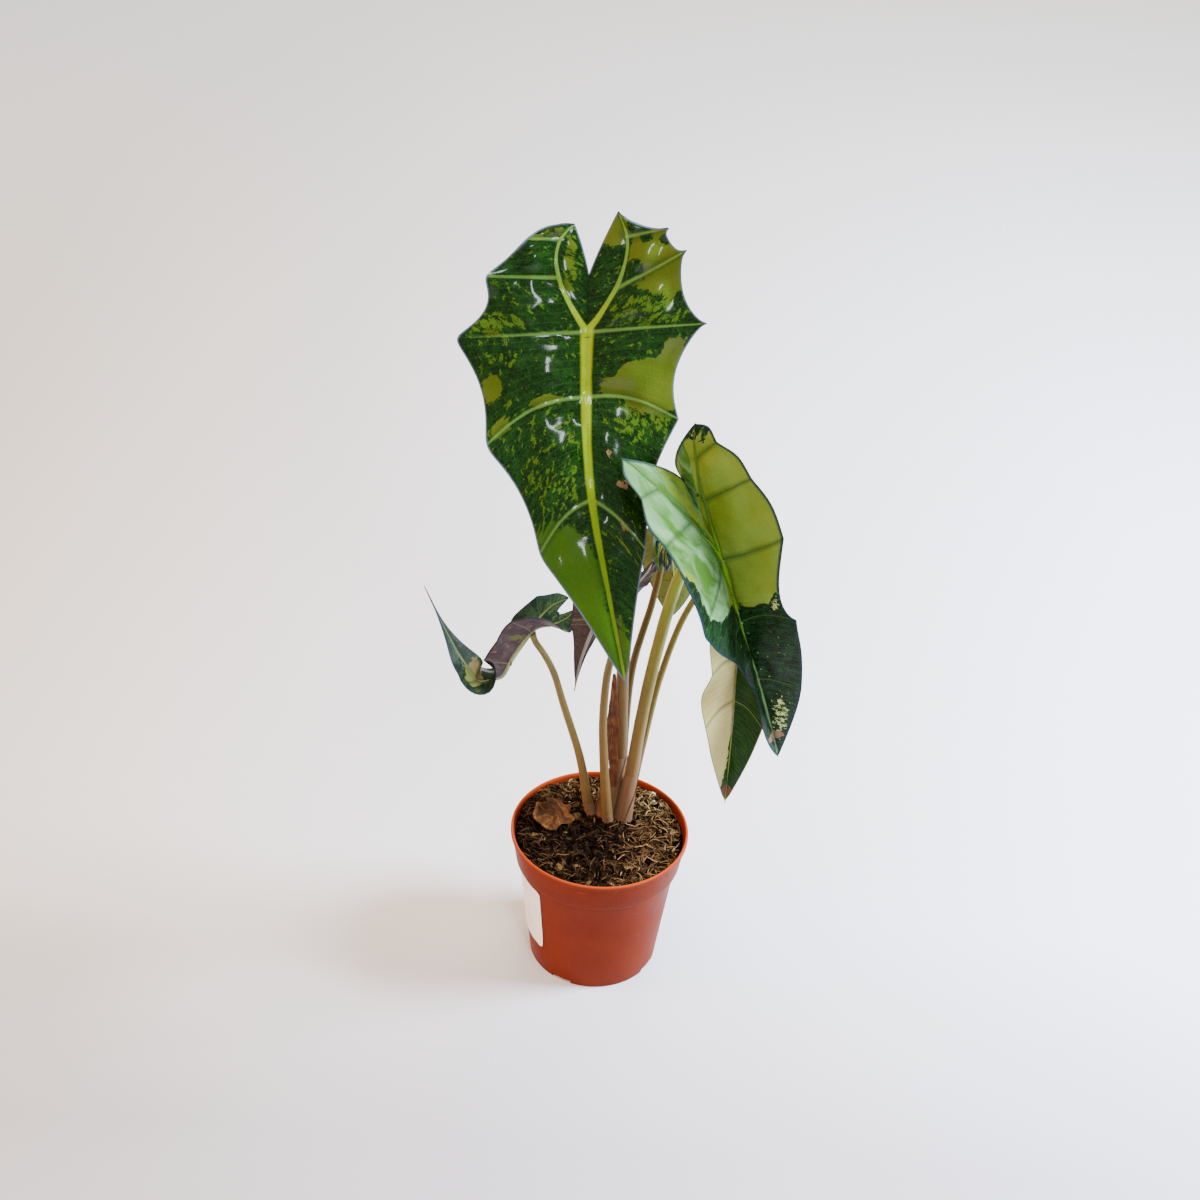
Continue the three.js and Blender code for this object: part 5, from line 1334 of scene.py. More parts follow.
def make_dry_sheath(settings):
    """The dry strip of an old sheath: hollow, ridged lengthwise, with a ragged edge."""
    line = stalk_line(SHEATH_ROUTE, 70)
    along = unit(np.gradient(line, axis=0))
    back = unit(np.array([0.15, 1.0, 0.0]))
    across = unit(np.cross(along, back))
    share = np.linspace(0, 1, len(line))
    width = np.interp(share, np.linspace(0, 1, len(SHEATH_WIDTHS)), SHEATH_WIDTHS)
    spread = np.linspace(-1, 1, 27)
    steps = share * 10
    wave = 0.8 * (smooth_noise(steps * 0.9, np.full(len(steps), 7.0)) - 0.5)
    ragged = 1 + 0.09 * (smooth_noise(share[:, None] * 31, np.sign(spread)[None] * 9 + 20) - 0.5)
    reach = spread[None] * (width * (0.5 + 0.1 * wave))[:, None] * ragged
    hollow = 1.2 * np.minimum(1, width / 5)[:, None] * (1 - spread[None] ** 2)
    ridges = 0.13 * np.cos(spread[None] * 14 + 2 * wave[:, None]) + wave[:, None] * spread[None]
    grid = (line[:, None] + across[:, None] * reach[..., None]
            + back * (hollow + ridges)[..., None])
    skin = dry_tissue("leaf_sheath_dried_fibrous", settings.dry_sheath, "#5a3014", "#2f160c",
                      (2.2, 1 / 7, 1))
    points, faces, data = closed_sheet(grid, 0.22)
    piece = new_piece("dried_sheath", points, faces, [skin], sharp=60)
    carry(piece, "sheet", data)
    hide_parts("dry_sheath")


def soil_height(x, y):
    """Height of the soil's top at places, as in the solids."""
    radius = np.hypot(x, y)
    angle = math.radians(SOIL_RISE_ANGLE)
    rise = SOIL_RISE * (x * math.cos(angle) + y * math.sin(angle)) / RIM_RADIUS
    lumps = SOIL_LUMP * (smooth_noise(x / 9 + 20, y / 9 + 20) - 0.5)
    crumbs = SOIL_CRUMB * (smooth_noise(x / 3.4 + 50, y / 3.4 + 50) - 0.5)
    near_edge = np.maximum(0, (radius - 36) / 7)
    return SOIL_LEVEL + rise + (lumps + crumbs) * (1 - 0.5 * near_edge)


def make_dead_leaf(settings):
    """The curled dead leaf on the soil: ragged, crumpled, with its veins showing as ridges."""
    turn = math.radians(DEAD_LEAF_TURN)
    angles = np.linspace(0, 2 * np.pi, 97)
    rings = np.linspace(0.02, 1, 22)
    share = rings[:, None]
    sector = angles / (2 * np.pi) * 18
    low = np.floor(sector)
    ragged = mix(hash_noise(low % 18, 3.0), hash_noise((low + 1) % 18, 3.0), sector - low)
    fringe = 0.07 * (smooth_noise(angles * 9, 4.0 + 0 * angles) - 0.5)
    reach = share * (0.82 + 0.36 * ragged[None] * share + fringe[None] * share)
    along = DEAD_LEAF_SIZE[0] * reach * np.cos(angles)
    across = DEAD_LEAF_SIZE[1] * reach * np.sin(angles)
    x = DEAD_LEAF_CENTRE[0] + along * math.cos(turn) - across * math.sin(turn)
    y = DEAD_LEAF_CENTRE[1] + along * math.sin(turn) + across * math.cos(turn)
    # The rim rolls up and inwards, most on the side away from the stalks
    roll = soften(0.45, 0.95, share) * (0.45 + 0.55 * np.cos(angles - 2.2))
    x = x - roll * (x - DEAD_LEAF_CENTRE[0]) * 0.36
    y = y - roll * (y - DEAD_LEAF_CENTRE[1]) * 0.36
    curl = DEAD_LEAF_CURL * (1.1 * roll + 0.25 * share ** 2)
    crumple = 2.2 * smooth_noise(along / 3.1, across / 3.1) + 0.7 * smooth_noise(along, across)
    top = np.max([soil_height(x + dx, y + dy) for dx in (-1.5, 0, 1.5) for dy in (-1.5, 0, 1.5)],
                 axis=0)
    vein = 0.35 * np.exp(-(across / 0.7) ** 2)
    z = top + GAP + HALF_BLADE + curl + crumple - 0.3 + vein
    grid = np.stack([x, y, z], -1)[:, ::-1]
    points, faces, data = closed_sheet(grid, 0.2)
    skin = dry_tissue("leaf_dead_crumpled", settings.dead_leaf, "#4a2a12", "#1c100a",
                      (1 / 2, 1 / 2, 1))
    piece = new_piece("dead_leaf_curled", points, faces, [skin], sharp=60)
    carry(piece, "sheet", data)
    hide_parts("dead_leaf")


def pot_profile():
    """The pot's outline: from its foot's middle up the outside, over the lip and down inside."""
    channel, raised = CHANNEL_INNER_RADIUS, CHANNEL_HEIGHT
    base, wall_top = BASE_RADIUS, WALL_TOP_RADIUS
    step, collar, rim, height = COLLAR_BOTTOM_HEIGHT, COLLAR_BOTTOM_RADIUS, RIM_RADIUS, RIM_HEIGHT
    ring_inner, collar_top = base - FOOT_RING_WIDTH, rim - LIP_PROUD
    under_lip, lip_inner = height - LIP_HEIGHT, rim - WALL
    return [
        (0, 0), (channel - 1, 0), (channel - 0.6, 0.3), (channel, raised), (ring_inner, raised),
        (ring_inner + 0.6, 0.3), (ring_inner + 0.8, 0), (base - 0.9, 0), (base - 0.45, 0.13),
        (base - 0.13, 0.45), (base, 0.9), (mix(base, wall_top, 0.33), mix(0.9, step - 1.6, 0.33)),
        (mix(base, wall_top, 0.66), mix(0.9, step - 1.6, 0.66)), (wall_top, step - 1.6),
        (wall_top + 0.2, step - 1.0), (wall_top + 0.7, step - 0.4), (collar - 0.9, step - 0.1),
        (collar - 0.5, step + 0.2), (collar - 0.15, step + 0.6), (collar, step + 1.2),
        (mix(collar, collar_top, 0.5), mix(step + 1.2, under_lip, 0.5)),
        (collar_top - 0.02, under_lip - 0.2), (collar_top, under_lip),
        (rim - 0.3, under_lip + 0.2), (rim - 0.05, under_lip + 0.6), (rim, under_lip + 1),
        (rim, height - 0.7), (rim - 0.1, height - 0.3), (rim - 0.4, height - 0.05),
        (rim - 0.7, height), (lip_inner + 0.1, height - 0.08), (lip_inner, height - 0.3),
        (collar_top - WALL, under_lip), (collar - WALL, step + 1.6), (wall_top - WALL, step - 0.8),
        (base - WALL, raised + WALL + 0.4), (base - WALL - 0.6, raised + WALL),
        (channel - 1, raised + WALL), (channel - 2.4, WALL), (0, WALL),
    ]


def turned(profile, segments):
    """A body turned about the upright axis, closed at both ends of its outline."""
    angles = circle(segments)
    middle = profile[1:-1]
    points = [(0.0, 0.0, profile[0][1]), (0.0, 0.0, profile[-1][1])]
    for radius, height in middle:
        points += [(radius * math.cos(a), radius * math.sin(a), height) for a in angles]
    faces = ring_faces(len(middle), segments, 2)
    top = 2 + (len(middle) - 1) * segments
    for j in range(segments):
        n = (j + 1) % segments
        faces += [[0, 2 + n, 2 + j], [1, top + j, top + n]]
    return np.array(points), faces


CORNERS = ((-1, -1), (1, -1), (1, 1), (-1, 1))


def box_shape(centre, size, turn):
    """A plain box on the given middle, turned about the pot's axis: a cutter, never shown."""
    c, s = math.cos(turn), math.sin(turn)
    corners = []
    for dx, dy, dz in [(a, b, d) for d in (-1, 1) for a, b in CORNERS]:
        x, y = centre[0] + dx * size[0] / 2, centre[1] + dy * size[1] / 2
        corners.append((x * c - y * s, x * s + y * c, centre[2] + dz * size[2] / 2))
    faces = [[0, 3, 2, 1], [4, 5, 6, 7], [0, 1, 5, 4], [1, 2, 6, 5], [2, 3, 7, 6], [3, 0, 4, 7]]
    return np.array(corners), faces


def cut_away(piece, cutters):
    """Cuts shapes out of a piece, and keeps the result as its mesh."""
    points, faces = join([(p, f, []) for p, f in cutters])[:2]
    mesh = bpy.data.meshes.new("cutter")
    mesh.from_pydata((points * MM).tolist(), [], faces)
    cutter = bpy.data.objects.new("cutter", mesh)
    bpy.context.scene.collection.objects.link(cutter)
    modifier = piece.modifiers.new("cut", "BOOLEAN")
    modifier.operation, modifier.object, modifier.solver = "DIFFERENCE", cutter, "EXACT"
    graph = bpy.context.evaluated_depsgraph_get()
    made = bpy.data.meshes.new_from_object(piece.evaluated_get(graph))
    piece.modifiers.clear()
    piece.data = made
    bpy.data.objects.remove(cutter)
    bpy.data.meshes.remove(mesh)


def make_pot(settings):
    """The nursery pot: collar, rolled lip, foot ring with its notches, and the drain holes."""
    points, faces = turned(pot_profile(), POT_SEGMENTS)
    piece = new_piece("nursery_pot", points, faces, [moulded_plastic(settings)])
    notches, holes = [], []
    ring_middle = BASE_RADIUS - FOOT_RING_WIDTH / 2
    channel_middle = (CHANNEL_INNER_RADIUS + BASE_RADIUS - FOOT_RING_WIDTH) / 2
    for i in range(DRAIN_COUNT):
        turn = math.radians(DRAIN_FIRST_ANGLE + 360 * i / DRAIN_COUNT)
        size = (FOOT_RING_WIDTH + 4, NOTCH_WIDTH, 2 * CHANNEL_HEIGHT)
        notches.append(box_shape((ring_middle, 0, 0), size, turn))
        hole, hole_faces = turned([(0, -4), (DRAIN_RADIUS, -4), (DRAIN_RADIUS, 6), (0, 6)], 40)
        hole[:, 0] += channel_middle * math.cos(turn)
        hole[:, 1] += channel_middle * math.sin(turn)
        holes.append((hole, hole_faces))
    cut_away(piece, notches)
    cut_away(piece, holes)
    piece.data.polygons.foreach_set("use_smooth", [True] * len(piece.data.polygons))
    piece.data.set_sharp_from_angle(angle=math.radians(38))
    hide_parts("pot")


def make_label(settings):
    """The blank paper label: rounded corners, and one corner that has begun to lift."""
    rows, columns = 40, 90
    up, round_way = np.meshgrid(np.linspace(0, 1, rows), np.linspace(0, 1, columns), indexing="ij")
    height_mm = LABEL_TOP - LABEL_BOTTOM
    width_mm = math.radians(LABEL_TO_ANGLE - LABEL_FROM_ANGLE) * WALL_BEHIND_LABEL
    corner = LABEL_CORNER
    from_end = np.minimum(up, 1 - up) * height_mm
    # Rows shorten near the two ends so that the corners are round
    cut = corner - np.sqrt(np.maximum(corner**2 - np.maximum(corner - from_end, 0) ** 2, 0))
    share = mix(cut / width_mm, 1 - cut / width_mm, round_way)
    angle = np.radians(mix(LABEL_FROM_ANGLE, LABEL_TO_ANGLE, share))
    height = mix(LABEL_BOTTOM, LABEL_TOP, up)
    wall = mix(BASE_RADIUS, WALL_TOP_RADIUS, (height - 0.9) / (COLLAR_BOTTOM_HEIGHT - 2.5))
    lifted = 0.5 * soften(0.82, 1, share) * soften(0.8, 1, 1 - up)
    wrinkle = 0.05 * smooth_noise(angle * 25, height / 5)
    radius = wall + 0.32 + lifted + wrinkle
    grid = np.stack([radius * np.cos(angle), radius * np.sin(angle), height], -1)
    points, faces, data = closed_sheet(grid[:, ::-1], 0.09)
    piece = new_piece("blank_label", points, faces, [coated_paper(settings)], sharp=60)
    carry(piece, "sheet", data)
    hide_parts("label")


def inner_radius(height):
    """Inner radius of the pot's wall at a height."""
    levels = (CHANNEL_HEIGHT + WALL, CHANNEL_HEIGHT + WALL + 0.4, COLLAR_BOTTOM_HEIGHT - 0.8,
              COLLAR_BOTTOM_HEIGHT + 1.6, RIM_HEIGHT - LIP_HEIGHT, RIM_HEIGHT)
    radii = (BASE_RADIUS - WALL - 0.6, BASE_RADIUS - WALL, WALL_TOP_RADIUS - WALL,
             COLLAR_BOTTOM_RADIUS - WALL, RIM_RADIUS - LIP_PROUD - WALL, RIM_RADIUS - WALL)
    return np.interp(height, levels, radii)


def soil_tone(x, y):
    """Dry and light at the back and right, dark and wet in front of the stalks."""
    dry = 0.12 + 0.16 * soften(-5, 30, x) + 0.14 * soften(5, 32, y)
    wet = np.exp(-((x + 6) / 20) ** 2 - ((y + 6) / 15) ** 2)
    return dry - 0.1 * wet


def make_soil():
    """The soil's body: fine lumps on top of the same heights, and a wall inside the pot's."""
    rings, sectors = 96, 240
    top_edge = float(inner_radius(SOIL_LEVEL - SOIL_RISE)) - 0.1
    angles = circle(sectors)
    radii = top_edge * np.linspace(0.01, 1, rings)
    x, y = radii[:, None] * np.cos(angles), radii[:, None] * np.sin(angles)
    rough = sum(size * (smooth_noise(x / step + 7 * k, y / step + 3 * k) - 0.5)
                for k, (size, step) in enumerate(((2.2, 2.3), (1.3, 1.1), (0.6, 0.55))))
    pits = -1.6 * soften(0.66, 0.85, smooth_noise(x / 2.4 + 90, y / 2.4 + 30))
    top = soil_height(x, y) + rough + pits - 0.5
    points = [np.stack([x, y, top], -1).reshape(-1, 3)]
    # Heights of the soil's side, and of the pot's wall that it follows there
    wall = [(66.0, 64.8), (61.5, 60.8), (5.0, 3.8), (3.6, 3.4)]
    for height, fit in wall:
        radius = float(inner_radius(fit)) - 0.15
        points.append(np.stack([radius * np.cos(angles), radius * np.sin(angles),
                                np.full(sectors, height)], -1))
    points.append(np.array([[0, 0, float(top[0].mean())], [0, 0, 3.6]]))
    points = np.vstack(points)
    rows = rings + len(wall)
    # Wound the other way, because these rings run down and outwards
    faces = [[face[0], *face[:0:-1]] for face in ring_faces(rows, sectors)]
    middle, bottom, last = rows * sectors, rows * sectors + 1, (rows - 1) * sectors
    for j in range(sectors):
        n = (j + 1) % sectors
        faces += [[middle, j, n], [bottom, last + n, last + j]]
    tone = soil_tone(points[:, 0], points[:, 1]) - 0.28
    skin = potting_mix("peat_loose_moist", PEAT_STOPS, 0.55)
    piece = new_piece("soil_body", points, faces, [skin], sharp=70)
    carry(piece, "tone", tone, "POINT")
    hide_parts("soil")


PEAT_STOPS = [(0.1, "#080402"), (0.35, "#1a110a"), (0.6, "#38261a"), (0.95, "#7c6038")]
FIBRE_STOPS = [(0.1, "#1c120a"), (0.4, "#4a3420"), (0.7, "#82643a"), (1.0, "#b29868")]
CHIP_STOPS = [(0.1, "#0e0805"), (0.4, "#302014"), (0.7, "#6a5430"), (1.0, "#ccc094")]


def scatter(rng, count, edge=1.0):
    """Places on the soil, clear of the stalks' clump and of the pot's wall."""
    found = []
    while len(found) < count:
        x, y = rng.uniform(-SCATTER_REACH, SCATTER_REACH, 2)
        oval = math.hypot((x - CROWN_CENTRE[0]) / CLUMP_OVAL[0],
                          (y - CROWN_CENTRE[1]) / CLUMP_OVAL[1])
        if math.hypot(x, y) < SCATTER_EDGE - edge and oval > 1:
            found.append((x, y))
    return np.array(found)


def lump_shape(rng, size, flatness):
    """A small ragged lump round the origin."""
    golden = (1 + 5 ** 0.5) / 2
    base = np.array([(-1, golden, 0), (1, golden, 0), (-1, -golden, 0), (1, -golden, 0),
                     (0, -1, golden), (0, 1, golden), (0, -1, -golden), (0, 1, -golden),
                     (golden, 0, -1), (golden, 0, 1), (-golden, 0, -1), (-golden, 0, 1)])
    base = unit(base) * rng.uniform(0.65, 1.3, (12, 1)) * size
    base = base * (1, rng.uniform(0.3, 0.9), flatness)
    turn = Matrix.Rotation(rng.uniform(0, 6.28), 3, "Z") @ Matrix.Rotation(
        rng.uniform(-0.6, 0.6), 3, "X")
    return base @ np.array(turn).T


LUMP_FACES = [[0, 11, 5], [0, 5, 1], [0, 1, 7], [0, 7, 10], [0, 10, 11], [1, 5, 9], [5, 11, 4],
              [11, 10, 2], [10, 7, 6], [7, 1, 8], [3, 9, 4], [3, 4, 2], [3, 2, 6], [3, 6, 8],
              [3, 8, 9], [4, 9, 5], [2, 4, 11], [6, 2, 10], [8, 6, 7], [9, 8, 1]]


def make_crumbs(settings):
    """Peat crumbs, bark chips and pale grit on the soil, fused into one piece."""
    rng = np.random.default_rng(CRUMB_SEED)
    largest = settings.crumb_size / MM
    points, faces, tones = [], [], []
    for kind, count in (("crumb", settings.crumb_count), ("chip", CHIP_COUNT),
                        ("grit", GRIT_COUNT)):
        places = scatter(rng, count)
        levels = soil_height(places[:, 0], places[:, 1])
        dry = soil_tone(places[:, 0], places[:, 1])
        for (x, y), level, tone in zip(places, levels, dry):
            if kind == "crumb":
                size, flat = rng.uniform(0.35, largest), 0.7
                shade = tone + rng.normal(-0.08, 0.17)
            elif kind == "chip":
                size, flat, shade = rng.uniform(0.9, 2.9), 0.22, tone + rng.normal(0.1, 0.2)
            else:
                size, flat, shade = rng.uniform(0.3, 0.6), 0.5, rng.uniform(0.7, 1.05)
            lump = lump_shape(rng, size, flat) + (x, y, level + size * flat * 0.25 - 0.15)
            base = len(points) * 12
            points.append(lump)
            faces += [[base + k for k in face] for face in LUMP_FACES]
            tones += [shade] * 12
    skin = potting_mix("bark_and_peat_crumbled", CHIP_STOPS, 0.6)
    piece = new_piece("soil_crumbs", np.vstack(points), faces, [skin], smooth=False)
    carry(piece, "tone", tones, "POINT")


def make_fibres(settings):
    """Coir and sedge fibres lying on the soil, each a thin bent strand, fused into one piece."""
    rng = np.random.default_rng(FIBRE_SEED)
    places = scatter(rng, settings.fibre_count, 1.5)
    dry = soil_tone(places[:, 0], places[:, 1])
    points, faces, tones = [], [], []
    steps, sides = 6, 3
    for (x, y), tone in zip(places, dry):
        if tone + rng.normal(0.12, 0.12) < 0.16:
            continue
        length = rng.uniform(2.5, settings.fibre_length / MM)
        turn, bend = rng.uniform(0, 6.28), rng.normal(0, 0.55)
        ways = turn + bend * np.linspace(-0.5, 0.5, steps)
        step = length / (steps - 1)
        line = np.stack([x + np.cumsum(step * np.cos(ways)), y + np.cumsum(step * np.sin(ways))],
                        -1) - length / 2 * np.array([math.cos(turn), math.sin(turn)])
        reach = np.hypot(line[:, 0], line[:, 1])
        line *= np.minimum(1, FIBRE_REACH / np.maximum(reach, 1e-6))[:, None]
        arch = rng.uniform(0.1, 1.0) * np.sin(np.pi * np.linspace(0, 1, steps))
        height = soil_height(line[:, 0], line[:, 1]) + 0.2 + arch * rng.uniform(0.2, 1.3)
        path = np.column_stack([line, height])
        width = rng.uniform(0.12, 0.55) * np.array([0.5, 1, 1.1, 1, 0.9, 0.4])
        across, other = carried_frames(path)[1:]
        base = len(points) * steps * sides
        ring = circle(sides) + rng.uniform(0, 2)
        strand = (path[:, None] + across[:, None] * (width[:, None] * np.cos(ring))[..., None]
                  + 0.4 * other[:, None] * (width[:, None] * np.sin(ring))[..., None])
        points.append(strand.reshape(-1, 3))
        faces += ring_faces(steps, sides, base)
        end = base + (steps - 1) * sides
        faces += [[base + 2, base + 1, base], [end, end + 1, end + 2]]
        tones += [1.3 * tone + 0.09 + rng.normal(0, 0.2)] * (steps * sides)
    skin = potting_mix("coir_fibre_dry", FIBRE_STOPS, 0.65)
    piece = new_piece("soil_fibres", np.vstack(points), faces, [skin])
    carry(piece, "tone", tones, "POINT")


def aim(piece, place, target):
    """Puts a light at a place, pointing at a target, both in metres."""
    piece.location = place
    piece.rotation_euler = (Vector(target) - Vector(place)).to_track_quat("-Z", "Y").to_euler()


def make_light(name, place, target, size, power, hex_colour, mirrored=False):
    """A soft lamp. Only one that is mirrored shows as a highlight in wax and plastic."""
    light = bpy.data.lights.new(name, "AREA")
    light.shape, light.size, light.size_y = "RECTANGLE", size[0], size[1]
    light.energy, light.color = power, linear(hex_colour)[:3]
    piece = bpy.data.objects.new(name, light)
    piece.visible_glossy = mirrored
    bpy.context.scene.collection.objects.link(piece)
    aim(piece, place, target)


def make_camera(settings):
    """The camera of the photograph, found from the pot's rim, foot and height."""
    turn, tilt, roll = (math.radians(v) for v in (VIEW_TURN, VIEW_TILT, VIEW_ROLL))
    ahead = Vector((math.sin(turn) * math.cos(tilt), math.cos(turn) * math.cos(tilt),
                    -math.sin(tilt)))
    right = ahead.cross(Vector((0, 0, 1))).normalized()
    up = right.cross(ahead)
    side = right * math.cos(roll) + up * math.sin(roll)
    top = up * math.cos(roll) - right * math.sin(roll)
    camera = bpy.data.cameras.new("photo_view")
    camera.lens, camera.sensor_width = settings.lens, SENSOR_WIDTH
    piece = bpy.data.objects.new("photo_view", camera)
    bpy.context.scene.collection.objects.link(piece)
    turned_axes = Matrix((side, top, -ahead)).transposed()
    piece.matrix_world = Matrix.Translation(VIEW_PLACE) @ turned_axes.to_4x4()
    bpy.context.scene.camera = piece


def make_stage(settings):
    """The floor, the lamps and the even light of the room, and the photograph's view."""
    mesh = bpy.data.meshes.new("floor")
    corners = [(FLOOR_REACH * x, FLOOR_REACH * y, 0) for x, y in CORNERS]
    mesh.from_pydata(corners, [], [[0, 1, 2, 3]])
    mesh.materials.append(painted_floor())
    floor = bpy.data.objects.new("floor", mesh)
    bpy.context.scene.collection.objects.link(floor)
    middle = (0.0, -0.02, 0.2)
    make_light("window_cool", (1.15, 0.05, 1.0), middle, (0.5, 0.5), 110.0, "#d6e6ff")
    make_light("lamp_warm", (-1.2, -0.3, 0.9), middle, (1.0, 1.0), 30.0, "#ffb676")
    make_light("window_panes", (0.3, -1.15, 1.35), (0, -0.05, 0.32), (0.15, 0.45), 14.0,
               "#eef4ff", True)
    make_light("overhead_soft", (0.0, -0.6, 1.9), middle, (1.6, 1.6), 28.0, "#ffffff")
    make_light("back_wash", (0.5, 1.5, 1.7), (0.3, 1.3, 0), (1.4, 1.4), 36.0, "#fff6ea")
    world = bpy.data.worlds.new("pale_room")
    world.use_nodes = True
    back = world.node_tree.nodes["Background"]
    back.inputs[0].default_value = linear("#f2f1ee")
    back.inputs[1].default_value = settings.room_light
    bpy.context.scene.world = world
    make_camera(settings)


# Settings, operators and the panel

def colour_setting(name, description, code):
    """A colour in the panel, with its default given as an sRGB hex value."""
    return bpy.props.FloatVectorProperty(name=name, description=description, subtype="COLOR",
                                         min=0.0, max=1.0, default=linear(code)[:3])


class PlantTissueSettings(bpy.types.PropertyGroup):
    leaf_dark: colour_setting("Leaf dark green", "Darkest tissue of the large front leaf",
                              UPPERSIDE["dark"])
    leaf_pale: colour_setting("Leaf pale patches", "Pale tissue of the large front leaf",
                              UPPERSIDE["pale"])
    leaf_rib: colour_setting("Leaf rib", "Rib of the large front leaf by its stalk",
                             UPPERSIDE["rib"])
    leaf_underside: colour_setting("Leaf underside", "Purple underside of the large front leaf",
                                   UNDERSIDE["dark"])
    dry_sheath: colour_setting("Dry sheath", "Lightest tone of the papery sheath", "#86562c")
    dead_leaf: colour_setting("Dead leaf", "Lightest tone of the dead leaf", "#7c5026")
    puckering: bpy.props.FloatProperty(
        name="Puckering", description="How strongly the leaves are puckered between their veins",
        default=1.0, min=0.0, max=2.0, subtype="FACTOR")


class PlantPotSettings(bpy.types.PropertyGroup):
    pot_colour: colour_setting("Pot colour", "Darker tone of the moulded pot", "#641f0a")
    pot_colour_light: colour_setting("Pot light tone", "Lighter tone that clouds the pot",
                                     "#6c250f")
    lip_colour: colour_setting("Lip colour", "Tone of the thin lip where light comes through",
                               "#a8441a")
    label_colour: colour_setting("Label colour", "Tone of the blank paper label", "#f4f0e8")


class PlantSoilSettings(bpy.types.PropertyGroup):
    crumb_count: bpy.props.IntProperty(
        name="Crumbs", description="How many peat crumbs lie on the soil", default=3200, min=0,
        max=8000)
    crumb_size: bpy.props.FloatProperty(
        name="Crumb size", description="Size of the largest peat crumbs", default=1.2 * MM,
        min=0.4 * MM, max=3 * MM, precision=4, unit="LENGTH", subtype="DISTANCE")
    fibre_count: bpy.props.IntProperty(
        name="Fibres", description="How many dry fibres lie on the soil", default=1500, min=0,
        max=4000)
    fibre_length: bpy.props.FloatProperty(
        name="Fibre length", description="Length of the longest dry fibres", default=9 * MM,
        min=3 * MM, max=15 * MM, precision=4, unit="LENGTH", subtype="DISTANCE")


class PlantStageSettings(bpy.types.PropertyGroup):
    lens: bpy.props.FloatProperty(
        name="Lens", description="Focal length of the photograph's view", default=66.0,
        min=20.0, max=200.0, subtype="DISTANCE_CAMERA", unit="CAMERA")
    room_light: bpy.props.FloatProperty(
        name="Room light", description="Strength of the even light from the room", default=0.62,
        min=0.0, max=5.0, subtype="FACTOR")


class PLANT_OT_leaves(bpy.types.Operator):
    """Build the six leaf blades"""
    bl_idname = "plant.leaves"
    bl_label = "Leaves"

    def execute(self, context):
        for name in LEAVES:
            make_leaf(name, context.scene.plant_tissue)
        return {"FINISHED"}


class PLANT_OT_stalks(bpy.types.Operator):
    """Build the six leaf stalks"""
    bl_idname = "plant.stalks"
    bl_label = "Leaf stalks"

    def execute(self, context):
        for name in STALKS:
            make_stalk(name)
        return {"FINISHED"}


class PLANT_OT_crown(bpy.types.Operator):
    """Build the clump of sheaths that the stalks grow from"""
    bl_idname = "plant.crown"
    bl_label = "Sheath clump"

    def execute(self, context):
        make_crown()
        return {"FINISHED"}


class PLANT_OT_dry_sheath(bpy.types.Operator):
    """Build the dry strip of an old sheath"""
    bl_idname = "plant.dry_sheath"
    bl_label = "Dry sheath"

    def execute(self, context):
        make_dry_sheath(context.scene.plant_tissue)
        return {"FINISHED"}


class PLANT_OT_dead_leaf(bpy.types.Operator):
    """Build the curled dead leaf on the soil"""
    bl_idname = "plant.dead_leaf"
    bl_label = "Dead leaf"

    def execute(self, context):
        make_dead_leaf(context.scene.plant_tissue)
        return {"FINISHED"}


class PLANT_OT_soil(bpy.types.Operator):
    """Build the soil with its crumbs and fibres"""
    bl_idname = "plant.soil"
    bl_label = "Soil"

    def execute(self, context):
        settings = context.scene.plant_soil
        make_soil()
        make_crumbs(settings)
        make_fibres(settings)
        return {"FINISHED"}


class PLANT_OT_pot(bpy.types.Operator):
    """Build the moulded nursery pot"""
    bl_idname = "plant.pot"
    bl_label = "Pot"

    def execute(self, context):
        make_pot(context.scene.plant_pot)
        return {"FINISHED"}


class PLANT_OT_label(bpy.types.Operator):
    """Build the blank label on the pot"""
    bl_idname = "plant.label"
    bl_label = "Label"

    def execute(self, context):
        make_label(context.scene.plant_pot)
        return {"FINISHED"}


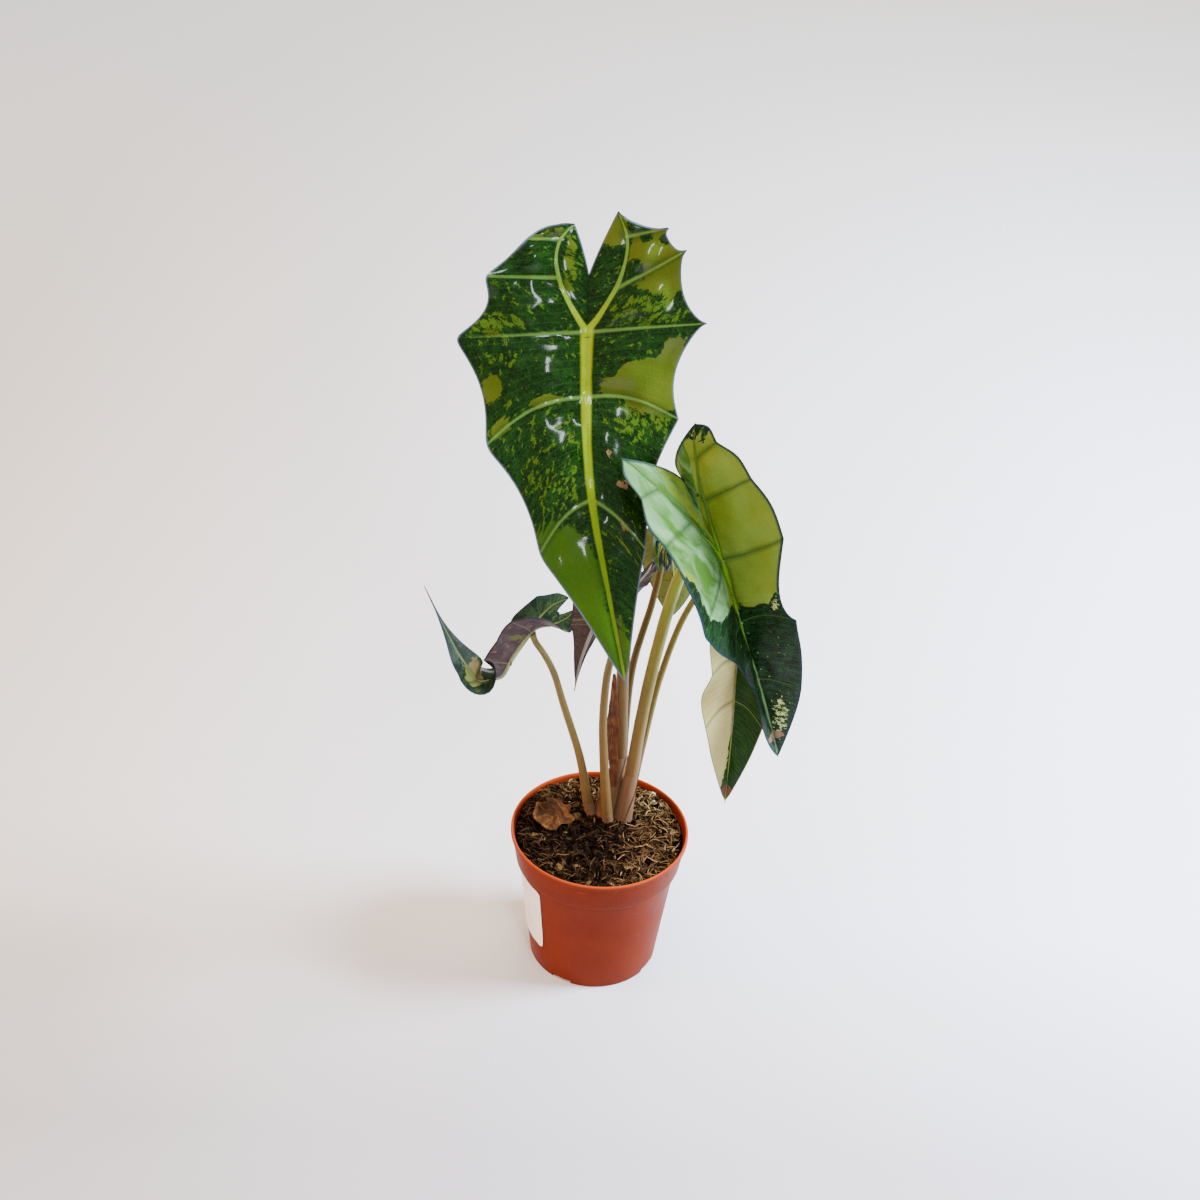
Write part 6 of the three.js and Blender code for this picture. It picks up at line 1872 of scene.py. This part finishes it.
class PLANT_OT_stage(bpy.types.Operator):
    """Set up the floor, the lights and the photograph's view"""
    bl_idname = "plant.stage"
    bl_label = "Studio"

    def execute(self, context):
        make_stage(context.scene.plant_stage)
        return {"FINISHED"}


class PLANT_PT_panel(bpy.types.Panel):
    bl_idname = "PLANT_PT_panel"
    bl_label = "Potted alocasia"
    bl_space_type = "VIEW_3D"
    bl_region_type = "UI"
    bl_category = "Plant"

    def draw(self, context):
        layout = self.layout
        scene = context.scene
        for group in (scene.plant_tissue, scene.plant_pot, scene.plant_soil, scene.plant_stage):
            for name in group.__annotations__:
                layout.prop(group, name)
        for operator in OPERATORS:
            layout.operator(operator.bl_idname)


SETTINGS = (PlantTissueSettings, PlantPotSettings, PlantSoilSettings, PlantStageSettings)
OPERATORS = (PLANT_OT_stage, PLANT_OT_pot, PLANT_OT_label, PLANT_OT_soil, PLANT_OT_dead_leaf,
             PLANT_OT_crown, PLANT_OT_stalks, PLANT_OT_dry_sheath, PLANT_OT_leaves)


def register():
    for item in (*SETTINGS, *OPERATORS, PLANT_PT_panel):
        bpy.utils.register_class(item)
    scene = bpy.types.Scene
    scene.plant_tissue = bpy.props.PointerProperty(type=PlantTissueSettings)
    scene.plant_pot = bpy.props.PointerProperty(type=PlantPotSettings)
    scene.plant_soil = bpy.props.PointerProperty(type=PlantSoilSettings)
    scene.plant_stage = bpy.props.PointerProperty(type=PlantStageSettings)


def unregister():
    for name in ("plant_tissue", "plant_pot", "plant_soil", "plant_stage"):
        delattr(bpy.types.Scene, name)
    for item in (PLANT_PT_panel, *reversed(OPERATORS), *reversed(SETTINGS)):
        bpy.utils.unregister_class(item)


def main():
    register()
    bpy.ops.plant.stage()
    bpy.ops.plant.pot()
    bpy.ops.plant.label()
    bpy.ops.plant.soil()
    bpy.ops.plant.dead_leaf()
    bpy.ops.plant.crown()
    bpy.ops.plant.stalks()
    bpy.ops.plant.dry_sheath()
    bpy.ops.plant.leaves()


if __name__ == "__main__":
    main()
